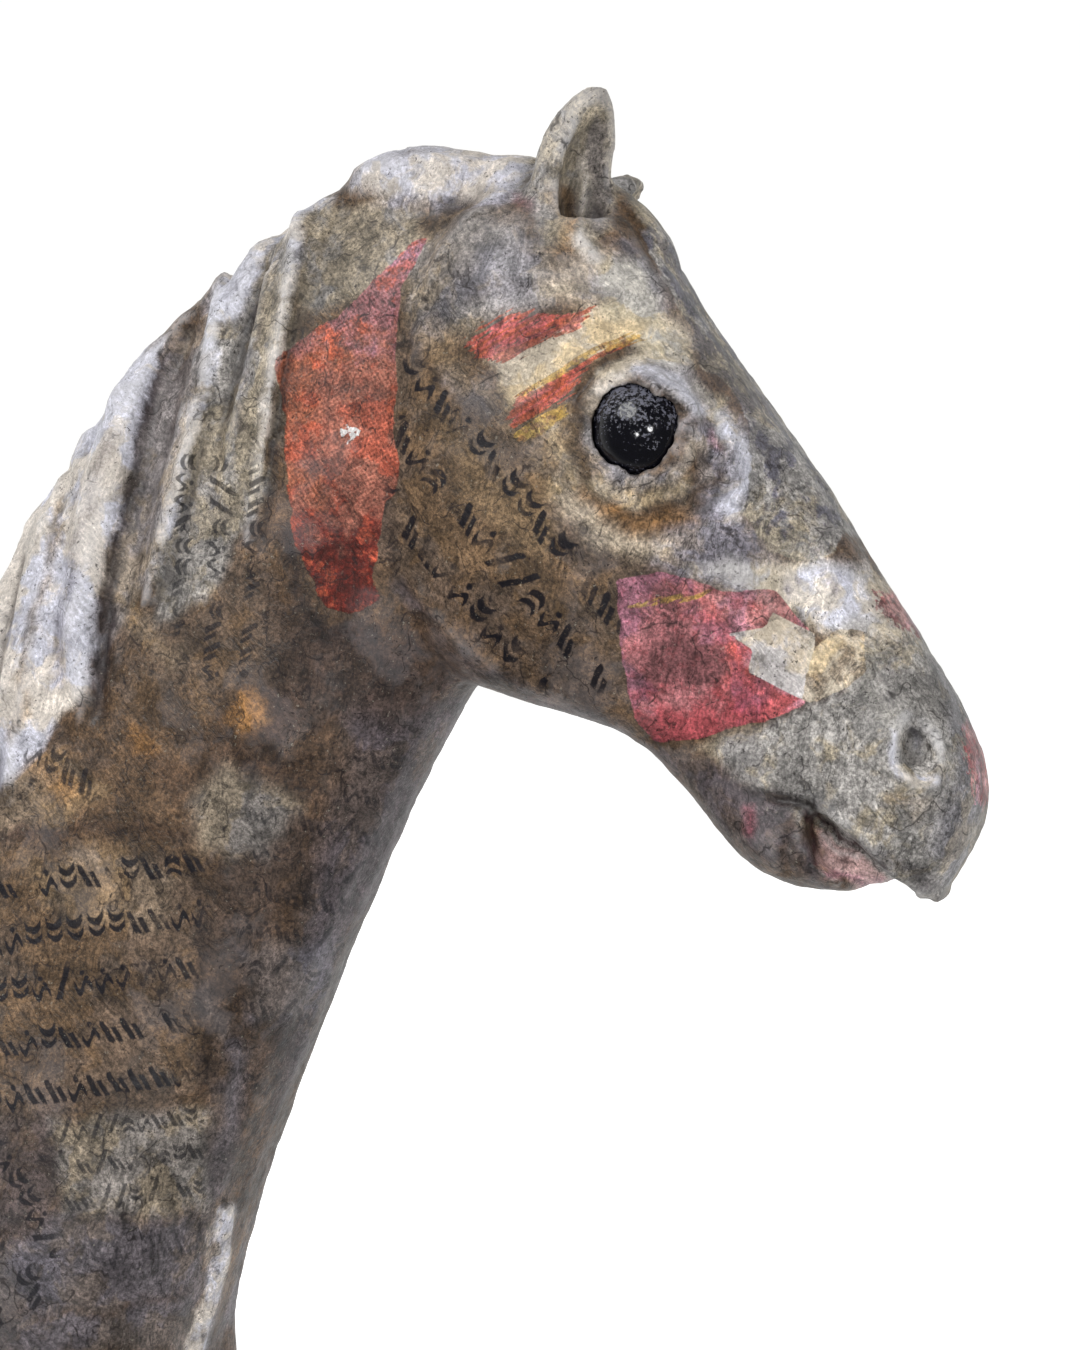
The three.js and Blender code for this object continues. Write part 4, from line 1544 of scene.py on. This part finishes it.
        # Painted shade in the hollows and a dark line where the lids meet the balls
        painted_hollow_shade = smooth((-raised - 0.03) / 0.3) * smooth((clear - 0.3) / 0.6)
        skin.record("painted_hollow_shade", np.maximum(painted_hollow_shade, smooth((0.17 - clear) / 0.07)))
        # Pale paint on the ridges, partly wear and partly a painted highlight
        skin.record("ridge_wear_and_highlight", smooth((raised - 0.03) / 0.26))

    def build(self) -> bpy.types.Object:
        """Make, model, paint and dress the piece."""
        piece = self.remeshed()
        skin = Skin(piece.data)
        self.model(skin, Modelling())
        skin.write()
        skin.places = PICTURE.laid(skin.points)
        self.paint(skin, Painting())
        round_off(piece, self.finish.build())
        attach(piece, "root")
        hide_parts(self.node.name)
        return piece


@dataclass
class EyeBall:
    """One eye: a ball, slightly lumpy, of glossy black."""

    node: bpy.types.Object
    name: str
    material: bpy.types.Material
    segments: int = 72
    rings: int = 48
    lumps: float = 0.03 * MM  # how far the lumps stand out
    lump_size: float = 1.4 * MM

    def build(self) -> bpy.types.Object:
        """Make and dress the ball in its CAD node's place."""
        low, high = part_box(self.node.name)
        centre = (low + high) / 2
        radius = (high.x - low.x) / 2 - self.lumps
        shape = bmesh.new()
        turned = Matrix.Rotation(math.pi / 2, 4, "X")
        bmesh.ops.create_uvsphere(
            shape, u_segments=self.segments, v_segments=self.rings, radius=radius, matrix=turned)
        for vert in shape.verts:
            lump = noise.fractal(vert.co / self.lump_size + centre / MM, 1.0, 2.0, 3)
            vert.co += vert.co.normalized() * self.lumps * max(-1.0, min(1.0, lump))
        bmesh.ops.translate(shape, verts=shape.verts, vec=centre)
        piece = placed(shape, self.name)
        round_off(piece, self.material)
        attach(piece, "root")
        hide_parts(self.node.name)
        return piece


@dataclass(frozen=True)
class Lamp:
    """A round area light that faces the horse."""

    name: str
    place: Triple  # to the right of, above and in front of the picture's target, in metres
    size: float  # its width in metres
    power: float  # in watts

    def hang(self) -> None:
        """Put the light into the scene."""
        back, right, up = (Vector(axis) for axis in PICTURE.axes())
        light = bpy.data.lights.new(self.name, "AREA")
        light.shape = "DISK"
        light.size = self.size
        light.energy = self.power
        hung = bpy.data.objects.new(self.name, light)
        offset = right * self.place[0] + up * self.place[1] + back * self.place[2]
        hung.location = Vector(PICTURE.target) + offset
        hung.rotation_mode = "QUATERNION"
        hung.rotation_quaternion = (-offset).to_track_quat("-Z", "Y")
        bpy.context.scene.collection.objects.link(hung)


@dataclass(frozen=True)
class Studio:
    """A plain pale floor, a pale surround, soft lights and the camera."""

    floor_radius: float = 6.0
    surround: float = 1.02
    lamps: tuple[Lamp, ...] = (
        Lamp("key", (-0.35, 0.5, 0.42), 0.45, 4.4),
        Lamp("fill", (0.2, -0.01, 0.54), 0.14, 1.3),
        Lamp("catchlight", (-0.08, -0.11, 0.46), 0.07, 0.36),
    )

    def floor(self) -> None:
        """Lay the floor."""
        shape = bmesh.new()
        bmesh.ops.create_circle(shape, cap_ends=True, segments=96, radius=self.floor_radius)
        material = bpy.data.materials.new("pale_floor")
        graph = Graph(material)
        place = graph.millimetres()
        tone = graph.noise(place, 0.02, 3).ramp(0.3, 0.7)
        behind = graph.along(place, -PICTURE.axes()[0])
        graph.surface({
            "Base Color": graph.mix(tone, (0.8, 0.8, 0.79), (0.82, 0.82, 0.82)),
            "Roughness": 0.7,
            "Emission Color": graph.mix(behind.ramp(-60, 30), (0.1, 0.1, 0.1), (0.8, 0.8, 0.8)),
            "Emission Strength": 1.0,
        })
        floor = placed(shape, "floor")
        floor.data.materials.append(material)
        floor.visible_glossy = False

    def sky(self) -> None:
        """Light the surround: white behind the horse, dimmer overhead and behind the camera."""
        world = bpy.data.worlds.new("studio_surround")
        bpy.context.scene.world = world
        graph = Graph(world)
        ahead = graph.node("ShaderNodeTexCoord", out=0)
        behind = graph.along(ahead, -PICTURE.axes()[0])
        height = graph.parts(ahead)[2]
        level = behind.ramp(-0.2, 0.4, 0.12, self.surround) * height.ramp(0.3, 0.75, 1.0, 0.6)
        glow = graph.node("ShaderNodeBackground", None, {0: (1.0, 1.0, 0.985, 1.0), 1: level})
        graph.node("ShaderNodeOutputWorld", None, {0: glow})

    def camera(self) -> None:
        """Set the camera at the side picture's lens."""
        back = Vector(PICTURE.axes()[0])
        lens = bpy.data.cameras.new("camera")
        lens.sensor_width = 36.0
        lens.lens = lens.sensor_width * PICTURE.distance / PICTURE.unit / PICTURE.height
        lens.clip_start = 0.01
        lens.clip_end = 20.0
        camera = bpy.data.objects.new("camera", lens)
        camera.location = Vector(PICTURE.eye())
        camera.rotation_mode = "QUATERNION"
        camera.rotation_quaternion = (-back).to_track_quat("-Z", "Y")
        bpy.context.scene.collection.objects.link(camera)
        bpy.context.scene.camera = camera

    def build(self) -> None:
        """Set up the whole studio."""
        bpy.context.scene.view_settings.view_transform = "Standard"
        self.camera()
        self.floor()
        self.sky()
        for lamp in self.lamps:
            lamp.hang()


def main() -> None:
    """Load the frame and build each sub-assembly in order."""
    logging.basicConfig(level=logging.INFO, format="%(message)s")
    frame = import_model()
    Studio().build()
    nodes = frame["nodes"]
    boxes = {name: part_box(name) for name in ("right_eye", "left_eye")}
    centres = tuple((low + high) / 2 for low, high in boxes.values())
    low, high = boxes["right_eye"]
    body = PaperBody(nodes["paper_horse"], centres, (high.x - low.x) / 2).build()
    LOG.info("%s: %d faces", body.name, len(body.data.polygons))
    black = EyeGloss(centres[0].z / MM).build()
    for node, name in (("right_eye", "right_eye_ball"), ("left_eye", "left_eye_ball")):
        ball = EyeBall(nodes[node], name, black).build()
        LOG.info("%s: %d faces", ball.name, len(ball.data.polygons))


if __name__ == "__main__":
    main()
